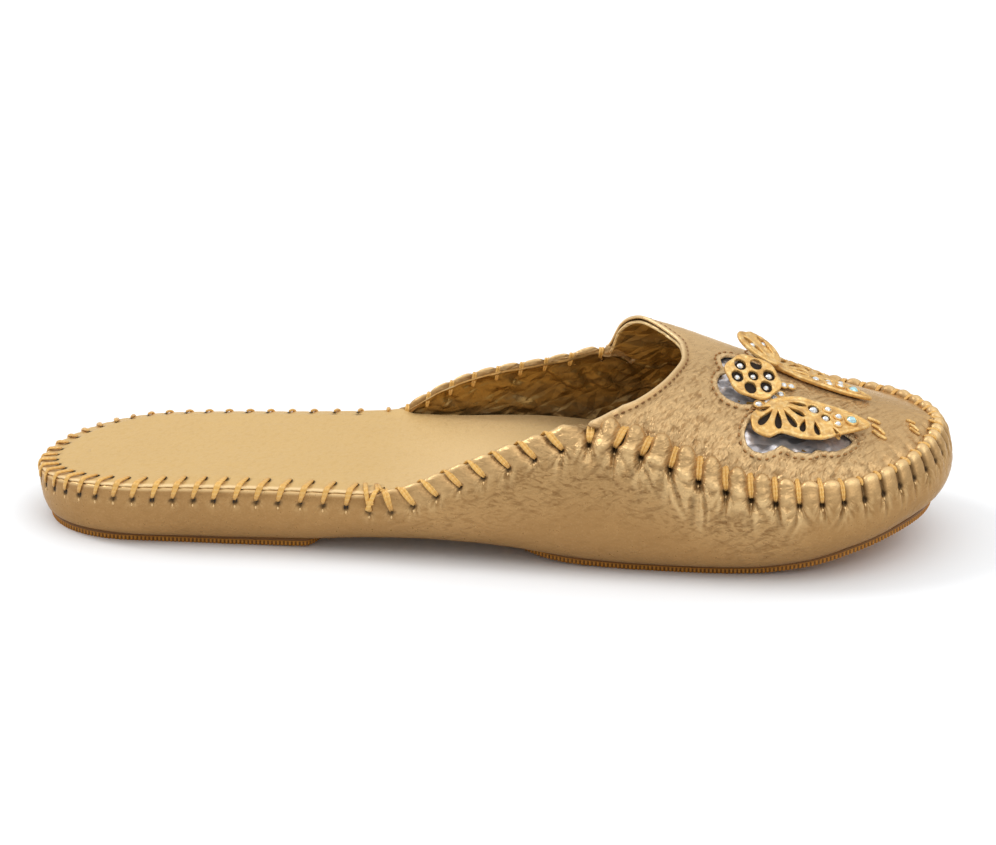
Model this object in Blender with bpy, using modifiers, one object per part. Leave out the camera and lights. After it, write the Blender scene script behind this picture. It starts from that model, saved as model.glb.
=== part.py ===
"""Moccasin mule slipper, right shoe: a leather wrap and plug sewn round the toe, open at the heel.

Built in metres with +Z up, the toe along +X and the little-toe (lateral) side along -Y. The origin is
on the floor under the middle of the shoe. Sizes are in millimetres and become metres in metres().

A station is the distance from the heel tip. The outside of the wrap is a wall that runs once round
the outline: it rises from the foot edge over the belly to the top edge. The top edge is the lip round
the heel, the rim of the two wings at the waist, and the moccasin seam round the toe.
"""

import math

import bmesh
import bpy
import numpy as np

LENGTH = 254.0
HEEL_ROUND = 34.0      # length of the round end of the heel
TOE_ROUND = 44.0       # length of the round end of the toe
HEEL_TIP_ACROSS = -1.5
TOE_TIP_ACROSS = 2.5
JUNCTION = 155.0       # station where the wings meet the plug
WALL = 2.0             # leather and lining together
GAP = 0.3              # clearance between touching pieces
WELT_IN = 3.0          # the sewn edge stands this far outside the plug
WELT_UP = 1.1          # and this far above it

# One row per cross-section. lateral, medial: half-widths at the belly. belly: its share of the wall's
# height. foot_in: how far the foot edge lies inside the belly. underside: height of the wrap's bottom.
# *_in, *_top: how far the top edge lies inside the belly, and its height. footbed: height of the insole.
SECTIONS = (
    "station lateral medial belly foot_in underside lateral_in lateral_top medial_in medial_top footbed",
    (0, 31.0, 31.0, 0.90, 2.8, 2.7, 0.3, 15.6, 0.3, 15.0, 15.6),
    (12, 31.0, 31.0, 0.90, 3.8, 2.7, 0.3, 17.6, 0.3, 16.4, 17.4),
    (25, 31.2, 31.2, 0.88, 5.2, 2.7, 0.3, 18.8, 0.3, 17.5, 18.8),
    (50, 31.6, 31.4, 0.85, 6.2, 2.7, 0.4, 19.5, 0.4, 18.8, 20.1),
    (75, 32.6, 32.2, 0.80, 6.8, 3.1, 0.6, 19.8, 0.6, 19.4, 20.4),
    (95, 34.4, 33.4, 0.72, 7.6, 4.6, 1.0, 19.9, 1.0, 20.3, 20.1),
    (102, 35.0, 33.8, 0.66, 8.0, 4.9, 1.3, 20.9, 1.4, 24.0, 19.8),
    (109, 35.8, 34.0, 0.60, 8.2, 5.1, 1.7, 23.4, 2.0, 28.6, 19.5),
    (116, 36.6, 34.8, 0.55, 8.3, 5.2, 2.3, 26.8, 2.6, 32.0, 19.3),
    (125, 37.8, 36.2, 0.50, 8.3, 5.1, 3.3, 31.0, 3.8, 34.8, 19.2),
    (135, 39.2, 38.0, 0.46, 8.2, 4.6, 5.0, 35.4, 5.6, 37.0, 18.8),
    (145, 40.6, 39.8, 0.42, 8.0, 3.8, 7.2, 39.2, 7.6, 39.6, 17.8),
    (155, 41.8, 41.4, 0.40, 7.8, 3.1, 9.4, 42.4, 9.4, 42.4, 16.4),
    (170, 43.0, 43.4, 0.40, 7.6, 2.7, 7.2, 40.4, 8.0, 41.6, 14.2),
    (185, 43.8, 44.0, 0.42, 7.6, 2.7, 5.0, 35.2, 6.2, 38.4, 12.6),
    (200, 44.0, 43.2, 0.44, 7.8, 3.1, 3.9, 30.6, 5.0, 34.8, 12.4),
    (215, 43.6, 42.2, 0.46, 8.2, 5.2, 3.5, 28.8, 4.4, 33.2, 13.8),
    (230, 42.8, 41.2, 0.46, 9.0, 9.0, 3.3, 28.6, 4.0, 32.8, 16.6),
    (243, 42.2, 40.4, 0.46, 10.0, 12.2, 3.3, 30.2, 3.7, 33.2, 19.0),
    (254, 41.8, 40.0, 0.46, 10.5, 13.6, 3.3, 33.0, 3.3, 33.0, 20.2),
)

# The crest of the plug: how far across it lies, and its height.
CREST = (
    "station across height",
    (140, 10.5, 54.0),
    (152, 10.2, 55.5),
    (160, 10.0, 57.2),
    (166, 9.3, 57.6),
    (172, 8.4, 56.3),
    (178, 7.6, 54.7),
    (188, 6.2, 51.5),
    (207, 4.1, 45.6),
    (220, 3.0, 41.2),
    (240, 2.2, 35.6),
    (254, 2.0, 32.6),
)
PLUG_FULLNESS = {"lateral": 0.8, "medial": 1.25}

# The collar edge of the plug, from the lateral wing over the instep to the medial wing.
COLLAR = (
    "station across",
    (163.0, -29.0),
    (171.0, -24.0),
    (177.0, -16.0),
    (179.8, -7.0),
    (178.8, 0.0),
    (174.0, 6.5),
    (167.5, 13.0),
    (162.5, 19.5),
    (159.0, 25.5),
)

PAD_THICK = 2.4
PAD_BEVEL = 0.5
HEEL_PAD = {"start": 2.8, "end": 83.5, "round_start": 26.0, "round_end": 7.0, "inset": 6.9}
FORE_PAD = {"start": 127.0, "end": 248.5, "round_start": 24.0, "round_end": 37.0, "inset": 8.6}

ORNAMENT_THICK = 1.1
ORNAMENT_SEAT = 0.45   # lowest clearance of an ornament piece over the plug
WING_LIFT = 1.5
MIRROR_ACROSS = -8.0   # the far forewing mirrors the near one about this line
FAR_ROOT = -1.2        # the far forewing's edge nearest the body, and how much narrower that wing is
FAR_NARROW = 0.75

# Outline of the near forewing: a small rear lobe, a notch and a long lobe with a pointed tip.
FOREWING = (
    "station across",
    (205.2, -17.4),
    (201.8, -20.9),
    (199.5, -25.0),
    (200.2, -28.9),
    (204.0, -30.3),
    (207.8, -28.2),
    (212.3, -28.9),
    (217.5, -28.0),
    (223.0, -24.6),
    (231.2, -17.3),
    (222.5, -14.8),
    (213.0, -15.0),
)

LOOP_HEEL = 22         # cells on each side of the loop from the heel tip to the junction
LOOP_TOE = 18          # cells on each side from the junction to the toe tip
LOOP = 2 * (LOOP_HEEL + LOOP_TOE)
WALL_CELLS = 8
BOTTOM_CELLS = 8
PLUG_CELLS = 14

LEATHER = {"colour": (0.46, 0.30, 0.15, 1), "roughness": 0.42, "metallic": 0.25}
FOOTBED = {"colour": (0.72, 0.49, 0.21, 1), "roughness": 0.5, "metallic": 0.1}
RUBBER = {"colour": (0.38, 0.13, 0.02, 1), "roughness": 0.45, "metallic": 0.0}
GOLD = {"colour": (0.80, 0.49, 0.15, 1), "roughness": 0.35, "metallic": 0.4}
STONE = {"colour": (0.85, 0.9, 0.92, 1), "roughness": 0.08, "metallic": 0.1}


def smooth_curve(at, values):
    """A monotone cubic through the values, so that a table's steps join without overshoot."""
    at = np.asarray(at, float)
    values = np.asarray(values, float)
    step = np.diff(at)
    slope = np.diff(values) / step
    tangent = np.zeros(len(at))
    before, after = slope[:-1], slope[1:]
    same = before * after > 0
    weight_a = 2 * step[1:] + step[:-1]
    weight_b = step[1:] + 2 * step[:-1]
    mean = (weight_a + weight_b)[same] / (weight_a[same] / before[same] + weight_b[same] / after[same])
    tangent[1:-1][same] = mean
    tangent[0], tangent[-1] = slope[0], slope[-1]

    def value(x):
        x = np.clip(x, at[0], at[-1])
        i = np.clip(np.searchsorted(at, x) - 1, 0, len(step) - 1)
        s = (x - at[i]) / step[i]
        start = values[i] * (1 + 2 * s) * (1 - s) ** 2 + step[i] * tangent[i] * s * (1 - s) ** 2
        end = values[i + 1] * s * s * (3 - 2 * s) + step[i] * tangent[i + 1] * s * s * (s - 1)
        return start + end

    return value


def columns(table):
    """{column: smooth curve over the station} of a table whose first row names its columns."""
    names = table[0].split()
    rows = np.array(table[1:], float)
    return {name: smooth_curve(rows[:, 0], rows[:, i]) for i, name in enumerate(names) if i}


SECTION = columns(SECTIONS)
RIDGE = columns(CREST)


def by_side(name, station, medial):
    lateral_value = SECTION["lateral" + name](station)
    return np.where(medial, SECTION["medial" + name](station), lateral_value)


def outline_at(station, medial):
    """How far across the belly lies, with the round ends of heel and toe."""
    across = np.where(medial, 1, -1) * by_side("", station, medial)
    heel = np.clip((HEEL_ROUND - station) / HEEL_ROUND, 0, 1)
    toe = np.clip((station - LENGTH + TOE_ROUND) / TOE_ROUND, 0, 1)
    across = HEEL_TIP_ACROSS + (across - HEEL_TIP_ACROSS) * np.sqrt(1 - heel**2)
    return TOE_TIP_ACROSS + (across - TOE_TIP_ACROSS) * np.sqrt(1 - toe**2)


def dense_side(medial):
    """Stations from heel to toe, close together at the round ends, and the length run up to each."""
    turn = np.linspace(0, math.pi, 1201)
    station = LENGTH * 0.5 * (1 - np.cos(turn))
    across = outline_at(station, np.full(len(station), medial))
    run = np.hypot(np.diff(station), np.diff(across))
    return station, across, np.concatenate([[0], np.cumsum(run)])


def loop_stations():
    """Stations once round the outline, lateral side first, evenly spaced along each stretch."""
    sides = []
    for medial in (False, True):
        station, across, run = dense_side(medial)
        split = np.interp(JUNCTION, station, run)
        heel = np.linspace(0, split, LOOP_HEEL + 1)
        toe = np.linspace(split, run[-1], LOOP_TOE + 1)[1:]
        sides.append(np.interp(np.concatenate([heel, toe]), run, station))
    lateral, medial = sides
    station = np.concatenate([lateral[:-1], medial[:0:-1]])
    is_medial = np.arange(LOOP) >= LOOP // 2
    return station, is_medial


def outline_frame():
    """Points of the belly's outline in plan, and the direction into the shoe at each."""
    station, medial = loop_stations()
    middle = np.stack([station, outline_at(station, medial)], axis=1)
    small = 0.02
    ahead = np.clip(station + small, 0, LENGTH)
    behind = np.clip(station - small, 0, LENGTH)
    run = np.stack([ahead - behind, outline_at(ahead, medial) - outline_at(behind, medial)], axis=1)
    run[medial] *= -1
    run[0] = (0, -1)
    run[LOOP // 2] = (0, 1)
    run /= np.linalg.norm(run, axis=1)[:, None]
    inward = np.stack([-run[:, 1], run[:, 0]], axis=1)
    return station, medial, middle, inward


def wall_profile(station, medial, ahead, share):
    """(how far in, height) of the wrap's outside at a share of its run, 0 at the foot and 1 at the top.

    ahead is the part of the direction into the shoe that points to the toe.
    """
    foot_in = SECTION["foot_in"](station)
    top_in = by_side("_in", station, medial)
    low = SECTION["underside"](station + ahead * foot_in)
    top = by_side("_top", station, medial)
    belly = low + SECTION["belly"](station) * (top - low)
    turn = np.clip(share * 2, 0, 1) * math.pi / 2
    rise = np.clip(share * 2 - 1, 0, 1)
    inset = foot_in * (1 - np.sin(turn)) + top_in * rise**2
    height = low + (belly - low) * (1 - np.cos(turn)) + (top - belly) * rise
    return inset, height


def wall_ring(share):
    station, medial, middle, inward = outline_frame()
    inset, height = wall_profile(station, medial, inward[:, 0], share)
    return np.column_stack([middle + inward * inset[:, None], height])


def plug_edge():
    """The edge of the plug inside the sewn welt, round the whole loop. It meets the rim at the junction."""
    station, medial, middle, inward = outline_frame()
    inset, height = wall_profile(station, medial, inward[:, 0], 1.0)
    fade = np.clip((station - JUNCTION) / 12, 0, 1)
    inset = inset + WELT_IN * fade
    height = height - WELT_UP * fade
    return np.column_stack([middle + inward * inset[:, None], height])


def edge_lookup():
    """Plug edge of each side as {side: (stations, across, height)}, sorted by station."""
    edge = plug_edge()
    half = LOOP // 2
    medial = np.concatenate([edge[half:], edge[:1]])[::-1]
    return {"lateral": edge[: half + 1].T, "medial": medial.T}


EDGE = edge_lookup()


def plug_height(station, across):
    """Height of the plug's outside over a point of the plan."""
    crest = RIDGE["across"](station)
    lateral = across < crest
    edges = [np.interp(station, EDGE[side][0], EDGE[side][row]) for side in EDGE for row in (1, 2)]
    edge_across = np.where(lateral, edges[0], edges[2])
    edge_height = np.where(lateral, edges[1], edges[3])
    fullness = np.where(lateral, PLUG_FULLNESS["lateral"], PLUG_FULLNESS["medial"])
    away = np.clip(np.abs((across - crest) / (edge_across - crest)), 0, 1)
    top = np.maximum(RIDGE["height"](station), edge_height)
    return edge_height + (top - edge_height) * (1 - away**2) ** fullness


def collar_points(lateral_end, medial_end, count):
    """Plan points of the collar edge between its two ends, evenly spaced."""
    rows = np.array([lateral_end[:2], *COLLAR[1:], medial_end[:2]], float)
    run = np.concatenate([[0], np.cumsum(np.linalg.norm(np.diff(rows, axis=0), axis=1))])
    curves = [smooth_curve(run, rows[:, i]) for i in (0, 1)]
    at = np.linspace(0, run[-1], count)
    return np.stack([curve(at) for curve in curves], axis=1)


def metres(points):
    """Millimetres from the heel tip to metres from the middle of the shoe."""
    return (np.asarray(points, float) - (LENGTH / 2, 0, 0)) * 0.001


def millimetres(vertices):
    """Places of vertices in millimetres from the heel tip."""
    return np.array([vertex.co for vertex in vertices]) * 1000 + (LENGTH / 2, 0, 0)


def add_points(mesh, points):
    return [mesh.verts.new(point) for point in metres(points)]


def add_band(mesh, below, above, closed=True):
    """Faces between two rows of vertices of one length, facing outward when the loop runs anticlockwise."""
    last = len(below) if closed else len(below) - 1
    for i in range(last):
        j = (i + 1) % len(below)
        corners = []
        for vertex in (below[i], below[j], above[j], above[i]):
            if vertex not in corners:
                corners.append(vertex)
        if len(corners) > 2:
            mesh.faces.new(corners)


def add_rows(mesh, rows):
    """Faces between neighbouring rows, each a list of vertices from one side to the other."""
    for row, following in zip(rows, rows[1:]):
        if len(row) == 1 or len(following) == 1:
            tip = (row if len(row) == 1 else following)[0]
            side = following if len(row) == 1 else row
            for a, b in zip(side, side[1:]):
                mesh.faces.new((tip, a, b))
        else:
            add_band(mesh, row, following, closed=False)


def cross_rows(mesh, loop, cells, height_of):
    """Rows of vertices from the lateral side of a loop to its medial side, from heel tip to toe tip."""
    half = LOOP // 2
    rows = [[loop[0]]]
    for i in range(1, half):
        near, far = loop[i], loop[LOOP - i]
        share = np.linspace(0, 1, cells + 1)[1:-1, None]
        ends = millimetres([near, far])
        plan = ends[0, :2] * (1 - share) + ends[1, :2] * share
        height = height_of(plan[:, 0])
        rows.append([near, *add_points(mesh, np.column_stack([plan, height])), far])
    return [*rows, [loop[half]]]


def new_object(name, mesh, finish, smooth_angle=40):
    """The bmesh as an object of the shoe's collection, with its own material."""
    bmesh.ops.recalc_face_normals(mesh, faces=mesh.faces)
    data = bpy.data.meshes.new(name)
    mesh.to_mesh(data)
    mesh.free()
    data.shade_smooth()
    data.set_sharp_from_angle(angle=math.radians(smooth_angle))
    shoe = bpy.data.objects.new(name, data)
    bpy.data.collections["moccasin_mule"].objects.link(shoe)
    material = bpy.data.materials.new(name)
    material.use_nodes = True
    shader = material.node_tree.nodes["Principled BSDF"]
    shader.inputs["Base Color"].default_value = finish["colour"]
    shader.inputs["Roughness"].default_value = finish["roughness"]
    shader.inputs["Metallic"].default_value = finish["metallic"]
    data.materials.append(material)
    return shoe


def add_plug(mesh, crest_ring, edge_ring):
    """The plug from the toe tip back to the collar edge, joined to the inside of the welt."""
    half = LOOP // 2
    junction = LOOP_TOE
    rows = [[edge_ring[half]]]
    ends = millimetres([edge_ring[half - junction], edge_ring[half + junction]])
    share = np.linspace(0, 1, PLUG_CELLS + 1)
    chord = ends[0, :2] * (1 - share[:, None]) + ends[1, :2] * share[:, None]
    bow = collar_points(ends[0], ends[1], PLUG_CELLS + 1) - chord
    for step in range(1, junction + 1):
        near, far = edge_ring[half - step], edge_ring[half + step]
        ends = millimetres([near, far])
        plan = ends[0, :2] * (1 - share[:, None]) + ends[1, :2] * share[:, None]
        plan = (plan + bow * (step / junction) ** 1.6)[1:-1]
        height = plug_height(plan[:, 0], plan[:, 1])
        rows.append([near, *add_points(mesh, np.column_stack([plan, height])), far])
    add_rows(mesh, rows)
    welt = range(half - junction, half + junction + 1)
    add_band(mesh, [crest_ring[i] for i in welt], [edge_ring[i] for i in welt], closed=False)


def make_upper():
    """Wrap and plug as one open surface, given its wall by Solidify."""
    mesh = bmesh.new()
    shares = np.linspace(0, 1, WALL_CELLS + 1)
    rings = [add_points(mesh, wall_ring(share)) for share in shares]
    for below, above in zip(rings, rings[1:]):
        add_band(mesh, below, above)
    add_rows(mesh, cross_rows(mesh, rings[0], BOTTOM_CELLS, SECTION["underside"]))
    half = LOOP // 2
    inner = plug_edge()
    edge_ring = list(rings[-1])
    for i in range(half - LOOP_TOE + 1, half + LOOP_TOE):
        edge_ring[i] = add_points(mesh, inner[i : i + 1])[0]
    add_plug(mesh, rings[-1], edge_ring)
    upper = new_object("upper", mesh, LEATHER)
    wall = upper.modifiers.new("wall", "SOLIDIFY")
    wall.thickness = WALL * 0.001
    wall.offset = -1
    wall.use_even_offset = True
    wall.use_rim = True
    return upper


def inner_profile(station, medial, ahead, clearance):
    """Heights and insets of the wall's outside moved in by the clearance, from the foot upwards."""
    shares = np.linspace(0, 1, 25)
    inset, height = np.array([wall_profile(station, medial, ahead, share) for share in shares]).T
    run_in, run_up = np.gradient(inset), np.gradient(height)
    run = np.hypot(run_in, run_up)
    return height - run_in / run * clearance, inset + run_up / run * clearance


INSOLE_GAP = GAP + 0.15    # clear of the wrap's inside, a little more than the gap because faces are flat
INSOLE_ROLL = 2.0          # size of the soft top edge
INSOLE_LEVELS = 5


def make_insole():
    """The padded footbed: it fills the wrap from its bottom to the footbed's height, clear of the wall."""
    station, medial, middle, inward = outline_frame()
    clearance = WALL + INSOLE_GAP
    foot_station = station + inward[:, 0] * SECTION["foot_in"](station)
    floor = SECTION["underside"](foot_station) + clearance
    top = SECTION["footbed"](station) - INSOLE_ROLL
    rings = []
    for level in np.linspace(0, 1, INSOLE_LEVELS):
        height = floor + (top - floor) * level
        inset = np.empty(LOOP)
        for i in range(LOOP):
            heights, insets = inner_profile(station[i], medial[i], inward[i, 0], clearance)
            inset[i] = np.interp(height[i], heights, insets)
        rings.append(np.column_stack([middle + inward * inset[:, None], height]))
    for turn in (math.radians(45), math.radians(90)):
        step_in = inset + INSOLE_ROLL * (1 - math.cos(turn))
        height = top + INSOLE_ROLL * math.sin(turn)
        rings.append(np.column_stack([middle + inward * step_in[:, None], height]))
    mesh = bmesh.new()
    loops = [add_points(mesh, ring) for ring in rings]
    for below, above in zip(loops, loops[1:]):
        add_band(mesh, below, above)
    base = SECTION["underside"]
    add_rows(mesh, cross_rows(mesh, loops[0], BOTTOM_CELLS, lambda at: base(at) + clearance))
    add_rows(mesh, cross_rows(mesh, loops[-1], BOTTOM_CELLS, SECTION["footbed"]))
    return new_object("insole", mesh, FOOTBED)


PAD_SQUARE = 2.2           # 2 makes a pad's ends ellipses, more makes them squarer
PAD_CELLS = 34             # along the pad
PAD_COLUMNS = 7            # across it


def pad_half_width(pad, station, medial):
    """How far across the pad's edge lies, with its round ends."""
    heel = np.clip((pad["start"] + pad["round_start"] - station) / pad["round_start"], 0, 1)
    toe = np.clip((station - pad["end"] + pad["round_end"]) / pad["round_end"], 0, 1)
    edge = by_side("", station, medial) - pad["inset"]
    return edge * np.sqrt(1 - heel**PAD_SQUARE) * np.sqrt(1 - toe**PAD_SQUARE)


def make_pad(name, pad):
    """A rubber outsole pad: its plan is a D, and it bends with the underside of the wrap."""
    turn = np.linspace(0, math.pi, PAD_CELLS + 1)
    station = pad["start"] + (pad["end"] - pad["start"]) * 0.5 * (1 - np.cos(turn))
    widths = [pad_half_width(pad, station, np.full(len(station), side)) for side in (False, True)]
    top = SECTION["underside"](station) - GAP
    mesh = bmesh.new()
    share = np.linspace(-1, 1, PAD_COLUMNS)
    faces = []
    for drop in (0, PAD_THICK):
        rows = []
        for i, at in enumerate(station):
            if i in (0, PAD_CELLS):
                rows.append(add_points(mesh, [(at, 0, top[i] - drop)]))
                continue
            across = np.where(share < 0, share * widths[0][i], share * widths[1][i])
            rows.append(add_points(mesh, [(at, y, top[i] - drop) for y in across]))
        add_rows(mesh, rows)
        medial = [row[-1] for row in rows[1:-1]]
        lateral = [row[0] for row in rows[-2:0:-1]]
        faces.append([rows[0][0], *medial, rows[-1][0], *lateral])
    add_band(mesh, faces[0], faces[1])
    rubber = new_object(name, mesh, RUBBER, 30)
    bevel = rubber.modifiers.new("edge", "BEVEL")
    bevel.width = PAD_BEVEL * 0.001
    bevel.segments = 2
    bevel.limit_method = "ANGLE"
    bevel.angle_limit = math.radians(60)
    return rubber


# The butterfly's round pieces lie round a line from start to end. lift: how far a piece's underside lies
# above the plug at its start. slope: how much more it rises, across the shoe or along its line.
DISC = {"start": (191.8, -12.8), "end": (206.6, -12.8), "half_width": 6.4, "lift": 3.4, "slope": 0.36}
PETAL = {"start": (206.0, -1.5), "end": (194.6, 8.6), "half_width": 4.2, "lift": 2.25, "slope": 0.3}
BODY = {"start": (200.6, -9.6), "end": (209.4, -7.2), "half_width": 1.3}
ELLIPSE_POINTS = 24
FOREWING_POINTS = 30


def closed_outline(rows, count):
    """A smooth closed plan outline through the rows."""
    points = np.array([*rows, rows[0]], float)
    run = np.concatenate([[0], np.cumsum(np.linalg.norm(np.diff(points, axis=0), axis=1))])
    at = np.linspace(0, run[-1], count, endpoint=False)
    return np.stack([smooth_curve(run, points[:, i])(at) for i in (0, 1)], axis=1)


def make_plate(name, outline, lift_of, finish):
    """A thin leather cut-out that follows the plug at a height given by lift_of(station, across)."""
    centre = outline.mean(axis=0)
    mesh = bmesh.new()
    tops, bottoms = [], []
    for share in (0.45, 1.0):
        plan = centre + (outline - centre) * share
        under = plug_height(plan[:, 0], plan[:, 1]) + lift_of(plan[:, 0], plan[:, 1])
        bottoms.append(add_points(mesh, np.column_stack([plan, under])))
        tops.append(add_points(mesh, np.column_stack([plan, under + ORNAMENT_THICK])))
    middle = plug_height(centre[:1], centre[1:]) + lift_of(centre[:1], centre[1:])
    for rings, height in ((bottoms, middle[0]), (tops, middle[0] + ORNAMENT_THICK)):
        hub = add_points(mesh, [(*centre, height)])[0]
        for a, b in zip(rings[0], rings[0][1:] + rings[0][:1]):
            mesh.faces.new((hub, a, b))
        add_band(mesh, rings[0], rings[1])
    add_band(mesh, bottoms[1], tops[1])
    return new_object(name, mesh, finish, 30)


def forewing_lift(station, across):
    """The wing is sewn down at its root and stands off towards its edges."""
    root = FOREWING[1]
    side = np.abs(np.abs(across - MIRROR_ACROSS) - (MIRROR_ACROSS - root[1]))
    away = np.hypot(station - root[0], side)
    return ORNAMENT_SEAT + WING_LIFT * np.clip(away / 12, 0, 1)


def ellipse(start, end, half_width):
    """A plan outline round the line from start to end."""
    turn = np.linspace(0, 2 * math.pi, ELLIPSE_POINTS, endpoint=False)[:, None]
    start, end = np.array(start), np.array(end)
    half = (end - start) / 2
    aside = np.array([-half[1], half[0]]) / np.hypot(*half)
    return (start + end) / 2 + np.cos(turn) * half + half_width * np.sin(turn) * aside


def disc_lift(station, across):
    return DISC["lift"] + DISC["slope"] * (across - DISC["start"][1])


def petal_lift(station, across):
    hinge, tip = np.array(PETAL["start"]), np.array(PETAL["end"])
    along = (tip - hinge) / np.linalg.norm(tip - hinge)
    run = (station - hinge[0]) * along[0] + (across - hinge[1]) * along[1]
    return PETAL["lift"] + PETAL["slope"] * np.clip(run, 0, None)


def flat_lift(station, across):
    return np.full(np.shape(station), ORNAMENT_SEAT)


def make_butterfly():
    """Two forewings mirrored about the body's line, a round raised hindwing, a raised petal, and the body."""
    near = closed_outline(FOREWING[1:], FOREWING_POINTS)
    far = near * (1, -1) + (0, 2 * MIRROR_ACROSS)
    far[:, 1] = FAR_ROOT + (far[:, 1] - FAR_ROOT) * FAR_NARROW
    make_plate("forewing_lateral", near, forewing_lift, GOLD)
    make_plate("forewing_medial", far, flat_lift, GOLD)
    for name, shape, lift_of, finish in (
        ("hindwing_lateral", DISC, disc_lift, GOLD),
        ("hindwing_medial", PETAL, petal_lift, GOLD),
        ("butterfly_body", BODY, flat_lift, STONE),
    ):
        make_plate(name, ellipse(shape["start"], shape["end"], shape["half_width"]), lift_of, finish)


def main():
    for existing in list(bpy.data.objects):
        bpy.data.objects.remove(existing)
    collection = bpy.data.collections.new("moccasin_mule")
    bpy.context.scene.collection.children.link(collection)
    make_upper()
    make_insole()
    make_pad("outsole_heel", HEEL_PAD)
    make_pad("outsole_forefoot", FORE_PAD)
    make_butterfly()


main()
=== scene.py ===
"""The looks of the moccasin mule slipper, a right shoe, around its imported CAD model.

Lengths are in millimetres, as (station, across, height). The station is the distance from the heel tip
towards the toe, across is positive towards the big-toe (medial) side, and height starts at the floor.
metres() turns them into the frame's metres. Round the outline, a run is the distance along the belly
from the heel tip, down the lateral side to the toe and back along the medial side.
"""

import math

import bmesh
import bpy
import numpy as np
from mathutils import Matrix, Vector, noise
from mathutils.geometry import delaunay_2d_cdt
from mathutils.kdtree import KDTree


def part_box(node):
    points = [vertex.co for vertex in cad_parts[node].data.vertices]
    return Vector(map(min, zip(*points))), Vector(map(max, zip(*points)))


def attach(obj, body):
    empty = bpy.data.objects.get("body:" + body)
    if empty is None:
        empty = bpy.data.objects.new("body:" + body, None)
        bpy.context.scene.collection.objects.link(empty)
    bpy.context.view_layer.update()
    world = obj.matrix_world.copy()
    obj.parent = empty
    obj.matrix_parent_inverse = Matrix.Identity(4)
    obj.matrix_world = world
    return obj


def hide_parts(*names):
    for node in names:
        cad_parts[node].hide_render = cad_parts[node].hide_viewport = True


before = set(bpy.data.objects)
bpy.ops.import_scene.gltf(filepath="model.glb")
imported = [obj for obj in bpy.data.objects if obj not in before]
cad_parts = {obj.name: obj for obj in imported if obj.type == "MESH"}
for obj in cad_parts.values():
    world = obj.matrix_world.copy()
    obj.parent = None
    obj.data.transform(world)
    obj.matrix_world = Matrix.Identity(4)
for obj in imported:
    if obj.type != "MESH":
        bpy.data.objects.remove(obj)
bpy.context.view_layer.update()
upper_low, upper_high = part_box("upper")
LENGTH = (upper_high.x - upper_low.x) * 1000


# ---------------------------------------------------------------- small sums


def clamp(value):
    """The value, kept from 0 to 1."""
    return np.clip(value, 0, 1)


def peak(away, width):
    """A bell curve: 1 where away is 0, and near 0 from two widths on."""
    return np.exp(-((away / width) ** 2))


def smooth_step(value, start, end):
    """0 before the start and 1 past the end, with a smooth rise. The end may be below the start."""
    share = clamp((value - start) / (end - start))
    return share * share * (3 - 2 * share)


def full_turn(count):
    """Angles evenly spaced round a full turn."""
    return np.linspace(0, 2 * math.pi, count, endpoint=False)


def unit(vectors):
    return vectors / np.maximum(np.linalg.norm(vectors, axis=-1, keepdims=True), 1e-12)


def path_runs(points):
    """The length of a path up to each of its points."""
    return np.concatenate([[0], np.cumsum(np.linalg.norm(np.diff(points, axis=0), axis=1))])


def at_runs(at, run, points):
    """The points of a path, which lie at the given runs, at other runs along it."""
    return np.stack([np.interp(at, run, points[:, i]) for i in range(points.shape[1])], axis=-1)


# ---------------------------------------------------------------- the shoe's own shape, as in the CAD

HEEL_ROUND = 34.0      # length of the round end of the heel
TOE_ROUND = 44.0       # length of the round end of the toe
HEEL_TIP_ACROSS = -1.5
TOE_TIP_ACROSS = 2.5
OUTLINE_POINTS = 1601  # on each side
KNOT = 96.0            # station where the heel's whip stitch ends and the wings begin
JUNCTION = 155.0       # station where the wings meet the plug
WALL = 2.0             # leather and lining together
WELT_IN = 3.0          # the sewn edge stands this far outside the plug
WELT_UP = 1.1          # and this far above it
WELT_FADE = 12.0       # over this length from the junction

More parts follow.
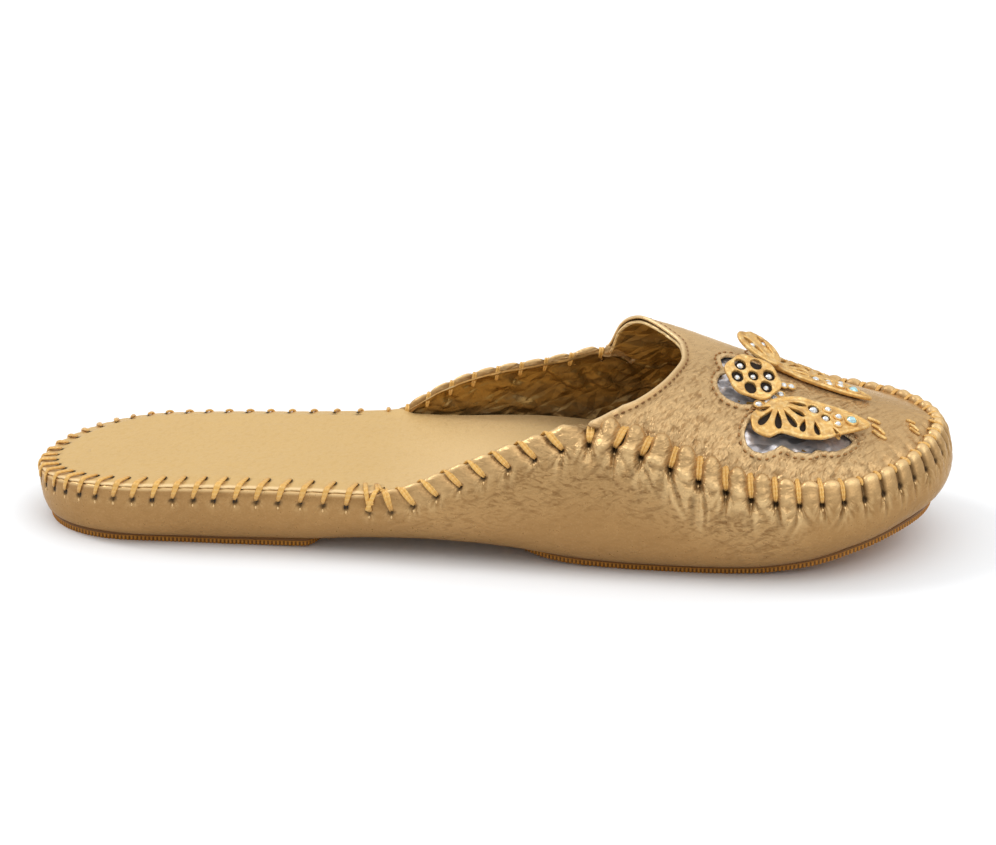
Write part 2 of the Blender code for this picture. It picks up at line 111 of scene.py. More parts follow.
# One row for each cross-section. lateral, medial: half-widths at the belly, the widest line of the wall.
# belly: its share of the wall's height. foot_in: how far the foot edge lies inside the belly. underside:
# height of the wrap's bottom. *_in, *_top: how far the top edge lies inside the belly, and its height.
# footbed: height of the insole.
SECTIONS = (
    "station lateral medial belly foot_in underside lateral_in lateral_top medial_in medial_top footbed",
    (0, 31.0, 31.0, 0.90, 2.8, 2.7, 0.3, 15.6, 0.3, 15.0, 15.6),
    (12, 31.0, 31.0, 0.90, 3.8, 2.7, 0.3, 17.6, 0.3, 16.4, 17.4),
    (25, 31.2, 31.2, 0.88, 5.2, 2.7, 0.3, 18.8, 0.3, 17.5, 18.8),
    (50, 31.6, 31.4, 0.85, 6.2, 2.7, 0.4, 19.5, 0.4, 18.8, 20.1),
    (75, 32.6, 32.2, 0.80, 6.8, 3.1, 0.6, 19.8, 0.6, 19.4, 20.4),
    (95, 34.4, 33.4, 0.72, 7.6, 4.6, 1.0, 19.9, 1.0, 20.3, 20.1),
    (102, 35.0, 33.8, 0.66, 8.0, 4.9, 1.3, 20.9, 1.4, 24.0, 19.8),
    (109, 35.8, 34.0, 0.60, 8.2, 5.1, 1.7, 23.4, 2.0, 28.6, 19.5),
    (116, 36.6, 34.8, 0.55, 8.3, 5.2, 2.3, 26.8, 2.6, 32.0, 19.3),
    (125, 37.8, 36.2, 0.50, 8.3, 5.1, 3.3, 31.0, 3.8, 34.8, 19.2),
    (135, 39.2, 38.0, 0.46, 8.2, 4.6, 5.0, 35.4, 5.6, 37.0, 18.8),
    (145, 40.6, 39.8, 0.42, 8.0, 3.8, 7.2, 39.2, 7.6, 39.6, 17.8),
    (155, 41.8, 41.4, 0.40, 7.8, 3.1, 9.4, 42.4, 9.4, 42.4, 16.4),
    (170, 43.0, 43.4, 0.40, 7.6, 2.7, 7.2, 40.4, 8.0, 41.6, 14.2),
    (185, 43.8, 44.0, 0.42, 7.6, 2.7, 5.0, 35.2, 6.2, 38.4, 12.6),
    (200, 44.0, 43.2, 0.44, 7.8, 3.1, 3.9, 30.6, 5.0, 34.8, 12.4),
    (215, 43.6, 42.2, 0.46, 8.2, 5.2, 3.5, 28.8, 4.4, 33.2, 13.8),
    (230, 42.8, 41.2, 0.46, 9.0, 9.0, 3.3, 28.6, 4.0, 32.8, 16.6),
    (243, 42.2, 40.4, 0.46, 10.0, 12.2, 3.3, 30.2, 3.7, 33.2, 19.0),
    (254, 41.8, 40.0, 0.46, 10.5, 13.6, 3.3, 33.0, 3.3, 33.0, 20.2),
)

# The crest of the plug: how far across it lies, and its height.
CREST = (
    "station across height",
    (140, 10.5, 54.0),
    (152, 10.2, 55.5),
    (160, 10.0, 57.2),
    (166, 9.3, 57.6),
    (172, 8.4, 56.3),
    (178, 7.6, 54.7),
    (188, 6.2, 51.5),
    (207, 4.1, 45.6),
    (220, 3.0, 41.2),
    (240, 2.2, 35.6),
    (254, 2.0, 32.6),
)
PLUG_FULLNESS = (0.8, 1.25)    # on its lateral and medial side

# The collar edge of the plug in plan, from its lateral to its medial end, which lie at the junctions.
COLLAR = (
    (171.0, -24.0),
    (177.0, -16.0),
    (179.8, -7.0),
    (178.8, 0.0),
    (174.0, 6.5),
    (167.5, 13.0),
    (162.5, 19.5),
)

# The sewn edge of the wrap. sink: how far its wall stops below the CAD's top edge. width, rise, drop:
# the rolled bead on it, how far it goes in, up, and down again on its inner side.
BEADS = (
    "station sink width rise drop",
    (0, 1.2, 1.4, 0.35, 1.0),
    (90, 1.2, 1.4, 0.35, 1.0),
    (103, 0.8, 2.4, 0.9, 2.4),
    (150, 0.9, 3.0, 1.0, 2.4),
    (162, 1.0, 3.2, 1.1, 2.2),
    (254, 0.9, 3.0, 1.0, 2.2),
)
FAR_EDGE = {"width": 0.5, "rise": 0.8, "drop": 0.45}    # what is left of them along the medial wing

# The hand stitches. spacing: from one to the next. lower: how far the lower hole lies below the wall's
# top. slant: how far along the run the upper end lies ahead of the lower end, on the lateral side.
# pillow: how far the leather swells between stitches. groove: how deep a stitch pulls in. dip: how far
# a stitch pulls the sewn edge down. crease: depth of the creases that fan out below a stitch. fan:
# their length. wide: width of the thread.
STITCHES = (
    "station spacing lower slant pillow groove dip crease fan wide",
    (0, 5.4, 3.2, 2.6, 0.10, 0.25, 0.0, 0.08, 3.0, 1.25),
    (50, 5.8, 3.2, 2.8, 0.10, 0.25, 0.0, 0.08, 3.0, 1.4),
    (92, 6.5, 3.4, 1.8, 0.16, 0.35, 0.0, 0.15, 3.5, 1.5),
    (99, 6.2, 5.6, -5.0, 0.30, 0.40, 0.2, 0.20, 4.0, 1.9),
    (125, 6.6, 5.4, -6.0, 0.90, 0.70, 0.4, 0.30, 5.0, 2.1),
    (148, 7.4, 5.6, -6.2, 1.40, 0.80, 0.8, 0.40, 7.0, 2.3),
    (160, 7.2, 5.6, 2.8, 2.20, 1.10, 2.2, 0.60, 10.0, 2.4),
    (172, 8.2, 5.5, 2.4, 2.40, 1.10, 2.6, 0.65, 11.5, 2.4),
    (182, 7.8, 5.4, 0.4, 2.30, 1.10, 2.5, 0.65, 11.5, 2.4),
    (195, 6.9, 5.4, -0.7, 1.90, 1.00, 2.2, 0.65, 11.0, 2.1),
    (210, 6.5, 5.2, -0.5, 1.10, 0.90, 1.2, 0.45, 9.0, 1.8),
    (222, 6.4, 5.0, 0.4, 0.50, 0.90, 0.5, 0.45, 8.0, 1.4),
    (243, 6.0, 4.8, 0.8, 0.45, 0.90, 0.4, 0.45, 7.0, 1.4),
    (254, 5.0, 4.6, 0.0, 0.50, 0.70, 0.8, 0.50, 6.0, 1.4),
)

# Where along the shoe each treatment comes in or goes, as (station without it, station with all of it).
ZONES = {
    "heel": ((102, 92),),
    "footbed lip": ((102, 95),),
    # where the painted light on the footbed comes in
    "painted footbed light": ((90, 125),),
    "wrinkled footbed": ((85, 110),),
    "wings": ((98, 108), (158, 150)),
    "before the plug": ((158, 150),),
    "wing lining": ((100, 112),),
    # where the painted highlight on the pillows' tops comes in
    "painted pillow highlights": ((98, 112),),
    "first wrinkles": ((92, 125),),
    "more wrinkles": ((125, 155),),
    "no wrinkles at the tip": ((222, 200),),
    "gathers": ((152, 162), (218, 200)),
    "deep gathers": ((215, 190),),
    "crumpled wall": ((128, 160),),
    # where the little painted shade over the wall comes in
    "darker wall": ((120, 160),),
    "rope edge": ((205, 225),),
    "near rope edge": ((244, 252),),
    "near rope threads": ((246, 253),),
    "toe": ((214, 228),),
    "smooth toe": ((222, 236),),
    "toe of the plug": ((226, 238),),
    "toe holes": ((220, 230),),
    # how far towards the toe the painted light on the vamp's top reaches
    "painted vamp top light": ((220, 200),),
}


def zone(name, station):
    """How far a treatment of the leather has come in at a station, from 0 to 1."""
    share = 1.0
    for start, end in ZONES[name]:
        share = share * smooth_step(station, start, end)
    return share


def smooth_curve(at, values):
    """A monotone cubic through the values, so that a table's steps join without overshoot."""
    at = np.asarray(at, float)
    values = np.asarray(values, float)
    step = np.diff(at)
    slope = np.diff(values) / step
    tangent = np.zeros(len(at))
    before, after = slope[:-1], slope[1:]
    same = before * after > 0
    weight_a = 2 * step[1:] + step[:-1]
    weight_b = step[1:] + 2 * step[:-1]
    mean = (weight_a + weight_b)[same] / (weight_a[same] / before[same] + weight_b[same] / after[same])
    tangent[1:-1][same] = mean
    tangent[0], tangent[-1] = slope[0], slope[-1]

    def value(x):
        x = np.clip(x, at[0], at[-1])
        i = np.clip(np.searchsorted(at, x) - 1, 0, len(step) - 1)
        s = (x - at[i]) / step[i]
        start = values[i] * (1 + 2 * s) * (1 - s) ** 2 + step[i] * tangent[i] * s * (1 - s) ** 2
        end = values[i + 1] * s * s * (3 - 2 * s) + step[i] * tangent[i + 1] * s * s * (s - 1)
        return start + end

    return value


def columns(table):
    """{column: smooth curve over the station} of a table whose first row names its columns."""
    names = table[0].split()
    rows = np.array(table[1:], float)
    return {name: smooth_curve(rows[:, 0], rows[:, i]) for i, name in enumerate(names) if i}


SECTION = columns(SECTIONS)
RIDGE = columns(CREST)
BEAD = columns(BEADS)
STITCH = columns(STITCHES)


def stitch(name, station):
    """One size of the stitch at a station."""
    return float(STITCH[name](station))


def by_side(name, station, medial):
    """One size of the cross-section, of its own side."""
    return np.where(medial, SECTION["medial" + name](station), SECTION["lateral" + name](station))


def outline_at(station, medial):
    """How far across the belly lies, with the round ends of heel and toe."""
    across = np.where(medial, 1, -1) * by_side("", station, medial)
    heel = clamp((HEEL_ROUND - station) / HEEL_ROUND)
    toe = clamp((station - LENGTH + TOE_ROUND) / TOE_ROUND)
    across = HEEL_TIP_ACROSS + (across - HEEL_TIP_ACROSS) * np.sqrt(1 - heel**2)
    return TOE_TIP_ACROSS + (across - TOE_TIP_ACROSS) * np.sqrt(1 - toe**2)


def outline_table():
    """The belly's outline once round from the heel tip, lateral side first, as dense columns."""
    turn = np.linspace(0, math.pi, OUTLINE_POINTS)
    station = LENGTH * 0.5 * (1 - np.cos(turn))
    lateral, medial = (np.column_stack([station, outline_at(station, side)]) for side in (False, True))
    plan = np.vstack([lateral, medial[-2::-1]])
    run = path_runs(plan)
    return {"run": run, "plan": plan, "direction": np.gradient(plan, run, axis=0), "half": len(turn) - 1}


OUTLINE = outline_table()
AROUND = OUTLINE["run"][-1]
HALF_WAY = OUTLINE["run"][OUTLINE["half"]]


def along(run):
    """Station, side, plan point and inward direction at each run."""
    run = np.asarray(run, float) % AROUND
    plan, direction = (at_runs(run, OUTLINE["run"], OUTLINE[key]) for key in ("plan", "direction"))
    direction /= np.linalg.norm(direction, axis=-1, keepdims=True)
    inward = np.stack([-direction[..., 1], direction[..., 0]], axis=-1)
    return plan[..., 0], run > HALF_WAY, plan, inward


def from_outline(plan, inward, inset, height):
    """Points inside the belly's outline by an inset, at a height."""
    return np.concatenate([plan + inward * inset[..., None], height[..., None]], axis=-1)


def run_gap(runs, run):
    """How far each run lies ahead of one of them, the short way round."""
    return (runs - run + AROUND / 2) % AROUND - AROUND / 2


def far_wing(station, medial):
    """1 along the medial wing, 0 elsewhere."""
    return medial * zone("wings", station)


def run_at(station, medial):
    """The run of a station on one side."""
    half = OUTLINE["half"]
    part = slice(None, half - 1, -1) if medial else slice(None, half + 1)
    return np.interp(station, OUTLINE["plan"][part, 0], OUTLINE["run"][part])


def wall_profile(station, medial, ahead, share, sink=0.0):
    """(how far in, height) of the wrap's outside at a share of its run, 0 at the foot and 1 at the top."""
    foot_in = SECTION["foot_in"](station)
    top_in = by_side("_in", station, medial)
    low = SECTION["underside"](station + ahead * foot_in)
    top = by_side("_top", station, medial) - sink
    belly = low + SECTION["belly"](station) * (top - low)
    turn = clamp(share * 2) * math.pi / 2
    rise = clamp(share * 2 - 1)
    inset = foot_in * (1 - np.sin(turn)) + top_in * rise**2
    height = low + (belly - low) * (1 - np.cos(turn)) + (top - belly) * rise
    return inset, height


def inset_at_height(station, medial, height):
    """How far inside the belly the wrap's outside lies at a height."""
    low = SECTION["underside"](station)
    top = by_side("_top", station, medial)
    belly = low + SECTION["belly"](station) * (top - low)
    rise = clamp((height - belly) / (top - belly))
    turn = np.arccos(clamp(1 - (height - low) / (belly - low)))
    return SECTION["foot_in"](station) * (1 - np.sin(turn)) + by_side("_in", station, medial) * rise**2


def plug_edge(run):
    """The edge of the plug inside the sewn welt. It meets the rim at the junction."""
    station, medial, plan, inward = along(run)
    fade = clamp((station - JUNCTION) / WELT_FADE)
    inset = by_side("_in", station, medial) + WELT_IN * fade
    return from_outline(plan, inward, inset, by_side("_top", station, medial) - WELT_UP * fade)


def edge_lookup():
    """Plug edge of each side as {side: (stations, across, height)}, sorted by station."""
    aside = 1e-6
    lateral = plug_edge(np.linspace(0, HALF_WAY, 400))
    medial = plug_edge(np.linspace(AROUND - aside, HALF_WAY + aside, 400))
    return {"lateral": lateral.T, "medial": medial.T}


EDGE = edge_lookup()


def plug_height(plan):
    """Height of the plug's outside over points of the plan."""
    station, across = plan[..., 0], plan[..., 1]
    crest = RIDGE["across"](station)
    lateral = across < crest
    edges = [[np.interp(station, edge[0], edge[row]) for edge in EDGE.values()] for row in (1, 2)]
    edge_across, edge_height = (np.where(lateral, *pair) for pair in edges)
    fullness = np.where(lateral, *PLUG_FULLNESS)
    away = clamp(np.abs((across - crest) / (edge_across - crest)))
    top = np.maximum(RIDGE["height"](station), edge_height)
    return edge_height + (top - edge_height) * (1 - away**2) ** fullness


# ---------------------------------------------------------------- small tools


def metres(points):
    """Millimetres from the heel tip to metres from the middle of the shoe."""
    return (np.asarray(points, float) - (LENGTH / 2, 0, 0)) * 0.001


def noise_at(points, size, seed=0.0):
    """Smooth noise from about -1 to 1, with features of about the given size or (x, y, z) sizes."""
    shape = points.shape[:-1]
    cells = points.reshape(-1, 3) / size + seed
    return np.array([noise.noise(Vector(cell)) for cell in cells]).reshape(shape)


def crease_at(points, size, seed=0.0):
    """The crease network of crumpled leather: 0 in the folds between cells, about 1 inside them."""
    shape = points.shape[:-1]
    cells = points.reshape(-1, 3) / size + seed
    near = [noise.voronoi(Vector(cell))[0] for cell in cells]
    return clamp(np.array([n[1] - n[0] for n in near]).reshape(shape) * 2.2)


def grid_faces(rows, cells, closed):
    """Quads of a grid of points in rows; closed joins the last column to the first."""
    index = np.arange(rows * cells).reshape(rows, cells)
    ahead = np.roll(index, -1, axis=1)
    if not closed:
        index, ahead = index[:, :-1], ahead[:, :-1]
    quads = np.stack([index[:-1], ahead[:-1], ahead[1:], index[1:]], axis=-1)
    return quads.reshape(-1, 4)


def grid_normals(grid, closed):
    """Outward normals of a grid of points whose rows go up and whose columns go with the run."""
    if closed:
        side = np.roll(grid, -1, axis=1) - np.roll(grid, 1, axis=1)
    else:
        side = np.gradient(grid, axis=1)
    return unit(np.cross(side, np.gradient(grid, axis=0)))


class Pile:
    """Points, faces and masks of many small shapes that are to be one mesh."""

    def __init__(self):
        self.points, self.faces, self.masks, self.count = [], [], {}, 0

    def add(self, points, faces, **masks):
        points = np.asarray(points, float).reshape(-1, 3)
        self.points.append(points)
        self.faces.extend([[int(i) + self.count for i in face] for face in faces])
        for name, values in masks.items():
            self.masks.setdefault(name, []).append(np.broadcast_to(values, (len(points),)))
        self.count += len(points)

    def piece(self, name, material, slot, **options):
        masks = {key: np.concatenate(values) for key, values in self.masks.items()}
        return make_piece(name, np.vstack(self.points), self.faces, material, slot, masks, **options)


def add_object(name, data):
    """A new object in the scene."""
    thing = bpy.data.objects.new(name, data)
    bpy.context.scene.collection.objects.link(thing)
    return thing


def make_piece(name, points, faces, material, slot, masks=None, replaces=(), smooth=180):
    """A mesh piece in its place, riding on the shoe's only body."""
    data = bpy.data.meshes.new(name)
    data.from_pydata(metres(points).tolist(), [], np.asarray(faces, dtype=object).tolist())
    mesh = bmesh.new()
    mesh.from_mesh(data)
    bmesh.ops.recalc_face_normals(mesh, faces=mesh.faces)
    mesh.to_mesh(data)
    mesh.free()
    for mask, values in (masks or {}).items():
        values = np.asarray(values, np.float32).ravel()
        data.attributes.new(mask, "FLOAT", "POINT").data.foreach_set("value", values)
    if smooth:
        data.shade_smooth()
        data.set_sharp_from_angle(angle=math.radians(smooth))
    piece = add_object(name, data)
    data.materials.append(material)
    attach(piece, "root")
    if replaces:
        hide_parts(*replaces)
    return piece


TWIST = 1.2            # length of thread in which its fibres go once round


def tube(path, width, thick, normals, sides=10):
    """A flat tube along a path, wide across the normals, with round ends.

    Returns its points, its faces, and how far along the thread's twist each point lies.
    """
    path = np.asarray(path, float)
    forward = unit(np.gradient(path, axis=0))
    aside = unit(np.cross(forward, normals))
    out = np.cross(aside, forward)
    turn = full_turn(sides)
    taper = np.ones(len(path))
    taper[[0, -1]] = 0.35
    wide = (np.cos(turn) / 2)[None, :, None] * (taper * width)[:, None, None]
    high = (np.sin(turn) * thick / 2)[None, :, None] * taper[:, None, None]
    ring = path[:, None] + aside[:, None] * wide + out[:, None] * high
    faces = [list(quad) for quad in grid_faces(len(path), sides, True)]
    faces.append(list(range(sides))[::-1])
    faces.append(list(range((len(path) - 1) * sides, len(path) * sides)))
    ply = path_runs(path)[:, None] + turn[None, :] / (2 * math.pi) * TWIST
    return ring.reshape(-1, 3), faces, ply.ravel()


def smooth_at(at, run, points):
    """The same as at_runs, with smooth curves between the points."""
    return np.stack([smooth_curve(run, points[:, i])(at) for i in range(points.shape[1])], axis=1)


def smooth_path(points, count):
    """A smooth path through the points, evenly spaced."""
    points = np.asarray(points, float)
    run = path_runs(points)
    return smooth_at(np.linspace(0, run[-1], count), run, points)


def closed_path(rows, spacing):
    """A smooth closed plan outline through the rows, with points about spacing apart."""
    points = np.array([*rows[-3:], *rows, *rows[:3]], float)
    run = path_runs(points)
    start, end = run[3], run[3 + len(rows)]
    count = max(8, int((end - start) / spacing))
    return smooth_at(np.linspace(start, end, count, endpoint=False), run, points)


def inside(points, loop):
    """Whether each plan point lies inside a closed loop."""
    result = np.zeros(len(points), bool)
    x, y = points[:, 0], points[:, 1]
    for (ax, ay), (bx, by) in zip(loop, np.roll(loop, -1, axis=0)):
        if ay != by:
            crossing = (ay > y) != (by > y)
            result ^= crossing & (x < (bx - ax) * (y - ay) / (by - ay) + ax)
    return result


def distance_to(points, others):
    """How far each plan point lies from the nearest of the others."""
    tree = KDTree(len(others))
    for i, (x, y) in enumerate(others):
        tree.insert((x, y, 0), i)
    tree.balance()
    return np.array([tree.find((x, y, 0))[2] for x, y in points])


ROW_GAP = 0.866        # between the rows of a triangle grid, as a share of its spacing
BORDER_GAP = 0.6       # between the grid and the sheet's borders
ROLL_STEPS = 5         # rings in a rolled edge


def cut_sheet(outline, holes, spacing):
    """Plan points and triangles of a sheet with holes. The points of outline and holes come first."""
    loops = [outline, *holes]
    borders = np.vstack(loops)
    low, high = outline.min(axis=0), outline.max(axis=0)
    rows = np.arange(low[1], high[1], spacing * ROW_GAP)
    line = np.arange(low[0], high[0], spacing)
    grid = np.array([(x + spacing / 2 * (j % 2), y) for j, y in enumerate(rows) for x in line])
    grid = grid[inside(grid, outline)]
    for hole in holes:
        grid = grid[~inside(grid, hole)]
    grid = grid[distance_to(grid, borders) > spacing * BORDER_GAP]
    points = np.vstack([borders, grid])
    edges, start = [], 0
    for loop in loops:
        edges += [(start + i, start + (i + 1) % len(loop)) for i in range(len(loop))]
        start += len(loop)
    found = delaunay_2d_cdt([Vector(p) for p in points], edges, [], 0, 1e-6)
    points = np.array([tuple(p) for p in found[0]])
    triangles = np.array(found[2])
    middle = points[triangles].mean(axis=1)
    keep = inside(middle, outline)
    for hole in holes:
        keep &= ~inside(middle, hole)
    return points, triangles[keep]


def turning(loop):
    """1 if a plan loop runs anticlockwise, -1 if it runs clockwise."""
    return np.sign(np.sum(loop[:, 0] * np.roll(loop[:, 1], -1) - loop[:, 1] * np.roll(loop[:, 0], -1)))


def loop_outward(loop, hole):
    """Plan directions that point off the sheet at each point of its outline, or of a hole in it."""
    run = unit(np.roll(loop, -1, axis=0) - np.roll(loop, 1, axis=0))
    right = np.column_stack([run[:, 1], -run[:, 0]]) * turning(loop)
    return -right if hole else right


SLOPE_STEP = 0.15      # the distance over which a surface's slope is measured


def lay(plan, height_of):
    """Points of a height function over the plan, and its normals."""
    step = SLOPE_STEP
    slopes = [(height_of(plan + move) - height_of(plan - move)) / (2 * step) for move in np.eye(2) * step]
    normals = unit(np.column_stack([-slopes[0], -slopes[1], np.ones(len(plan))]))
    return np.column_stack([plan, height_of(plan)]), normals


def roll_edge(points, outward, normals, reach, depth):
    """Rings of points that carry a sheet's edge round: out by reach and down by depth in all."""
    out = unit(np.column_stack([outward, np.zeros(len(outward))]))
    out = unit(out - normals * np.sum(out * normals, axis=1, keepdims=True))
    out = out * np.broadcast_to(reach, (len(points),))[:, None]
    rings = []
    for angle in np.linspace(0, math.pi, ROLL_STEPS + 1)[1:]:
        rings.append(points + out * math.sin(angle) - normals * depth / 2 * (1 - math.cos(angle)))
    return rings


def rolled_sheet(outline, holes, spacing, height_of, thick, reaches, back, base_of, masks=None):
    """A sheet over the plan with rounded edges all round, and a back if it is a plate.

    reaches: how far the rounded edge of the outline, and of each hole, comes out. base_of: a smoother
    height function to take the edges' directions from. masks: a function of the plan.
    """
    plan, triangles = cut_sheet(outline, holes, spacing)
    points = np.column_stack([plan, height_of(plan)])
    normals = lay(plan, base_of)[1]
    faces = triangles.tolist()
    all_points = [points]
    sources = [np.arange(len(plan))]
    count = len(points)
    if back:
        all_points.append(points - normals * thick)
        sources.append(np.arange(len(plan)))
        faces += (triangles[:, ::-1] + count).tolist()
        count += len(points)
    start = 0
    for i, loop in enumerate([outline, *holes]):
        index = np.arange(start, start + len(loop))
        outward = loop_outward(loop, i > 0)
        rings = roll_edge(points[index], outward, normals[index], reaches[i], thick)
        rows = [index]
        for ring in rings[:-1] if back else rings:
            rows.append(np.arange(count, count + len(loop)))
            all_points.append(ring)
            sources.append(index)
            count += len(loop)
        if back:
            rows.append(index + len(plan))
        for row, following in zip(rows, rows[1:]):
            ahead = np.column_stack([row, np.roll(row, -1), np.roll(following, -1), following])
            faces += ahead.tolist()
        start += len(loop)
    source = np.concatenate(sources)
    values = {key: value[source] for key, value in (masks(plan) if masks else {}).items()}
    return np.vstack(all_points), faces, values


def fan(dx, dy, depth, length, count, spread, random, widths=(0.45, 0.75)):
    """Creases that fan out from a stitch hole along +dy, with a soft ridge on each side of them."""
    total = np.zeros(dx.shape)
    for share in np.linspace(-1, 1, count):
        angle = share * spread + random.uniform(-0.25, 0.25)
        reach = length * random.uniform(0.5, 1.25) * (1 - 0.35 * abs(share))
        width = random.uniform(*widths)
        bend = random.uniform(-0.05, 0.05)
        ahead = dx * math.sin(angle) + dy * math.cos(angle)
        aside = dx * math.cos(angle) - dy * math.sin(angle) + bend * ahead**2
        taper = smooth_step(ahead, 0.2, 3.0) * clamp(1 - ahead / reach) ** 0.8
        ridges = 0.6 * peak(np.abs(aside) - 2.1 * width, 1.2 * width)
        total += depth * taper * (ridges - peak(aside, width))
    return total


# ---------------------------------------------------------------- hand stitches


def stitch_runs():
    """The run of every hand stitch round the edge, in order."""
    runs = []
    for medial, length in ((False, HALF_WAY), (True, AROUND - HALF_WAY)):
        side, at = [], STITCH["spacing"](0) / 2
        while at < length:
            side.append(at)
            station = along(AROUND - at if medial else at)[0]
            at += stitch("spacing", station)
        side = np.array(side) * (length - STITCH["spacing"](LENGTH) / 2) / side[-1]
        runs.extend(AROUND - side if medial else side)
    return np.sort(np.array(runs))


STITCH_RUNS = stitch_runs()


def slant_at(station, medial):
    """How far along the run a stitch's upper end lies ahead. Past the heel the medial side slants less."""
    return STITCH["slant"](station) * np.where(medial & (station > KNOT), -0.3, 1)


def stitch_phase(runs):
    """Where each run lies between two stitches, from 0 to 1, and how far it is from the nearest."""
    runs = runs % AROUND
    ends = np.concatenate([[STITCH_RUNS[-1] - AROUND], STITCH_RUNS, [STITCH_RUNS[0] + AROUND]])
    i = np.clip(np.searchsorted(ends, runs), 1, len(ends) - 1)
    phase = (runs - ends[i - 1]) / (ends[i] - ends[i - 1])
    return phase, np.minimum(runs - ends[i - 1], ends[i] - runs)


# ---------------------------------------------------------------- the wrap

WALL_ROWS = 44
BEAD_ROWS = 15
ROW_CROWDING = 1.5     # how much closer together the wall's rows are at its top
HEEL_COLUMNS = 210     # columns on each side, from the heel tip to near the junction
TOE_COLUMNS = 520      # and from there to the toe tip
HOLE_ROUND = 0.85      # radius of the dent at a lower stitch hole
GATHERS_END = 212.0    # station up to which the leather gathers under the stitches


def wrap_runs():
    """Runs of the wrap's columns, the same number on each side and closer together round the toe."""
    sides = []
    for medial in (False, True):
        split = run_at(JUNCTION - 10, medial)
        split = AROUND - split if medial else split
        length = AROUND - HALF_WAY if medial else HALF_WAY
        heel = np.linspace(0, split, HEEL_COLUMNS, endpoint=False)
        sides.append(np.concatenate([heel, np.linspace(split, length, TOE_COLUMNS, endpoint=False)]))
    return np.concatenate([sides[0], [HALF_WAY], AROUND - sides[1][:0:-1]])


def bead_size(name, station, medial):
    """A size of the wrap's bead, smaller along the medial wing."""
    return BEAD[name](station) * (1 - (1 - FAR_EDGE[name]) * far_wing(station, medial))


def wrap_sections(runs):
    """The wrap's outside over each run, from the foot over the bead, in rows closer together at the top.

    Returns the points and each point's depth below the top of the wall, negative over the bead.
    """
    station, medial, plan, inward = along(runs)
    share = np.linspace(0, 1, 90)[:, None]
    wall = np.stack(wall_profile(station, medial, inward[:, 0], share, BEAD["sink"](station)), axis=-1)
    width, rise, drop = (bead_size(key, station, medial) for key in ("width", "rise", "drop"))
    lead = unit(wall[-1] - wall[-2]) * (1.4 * rise + 0.2)[:, None]
    s = np.linspace(0, 1, 30)[1:, None, None]
    over = np.stack([width, 1.1 * rise], axis=-1)
    end = np.stack([width, -drop], axis=-1)
    bead = 3 * (1 - s) ** 2 * s * lead + 3 * (1 - s) * s**2 * over + s**3 * end
    path = np.concatenate([wall, wall[-1] + bead])
    steps = np.linalg.norm(np.diff(path, axis=0), axis=-1)
    length = np.concatenate([np.zeros((1, len(runs))), np.cumsum(steps, axis=0)])
    top = length[len(wall) - 1]
    below = np.linspace(1, 0, WALL_ROWS + 1)[:, None] ** ROW_CROWDING * top
    beyond = -np.linspace(0, 1, BEAD_ROWS + 1)[1:, None] * (length[-1] - top)
    depth = np.concatenate([below, beyond])
    rows = np.empty((*depth.shape, 2))
    for column in range(len(runs)):
        rows[:, column] = at_runs(top[column] - depth[:, column], length[:, column], path[:, column])
    return from_outline(plan, inward, rows[..., 0], rows[..., 1]), depth


def stitch_dip(runs):
    """How far each run's sewn edge is pulled down by the nearest stitch."""
    station, medial, _, _ = along(runs)
    off = stitch_phase(runs - slant_at(station, medial) * 0.5)[1]
    return STITCH["dip"](station) * (1 - 0.7 * far_wing(station, medial)) * peak(off, 1.7)


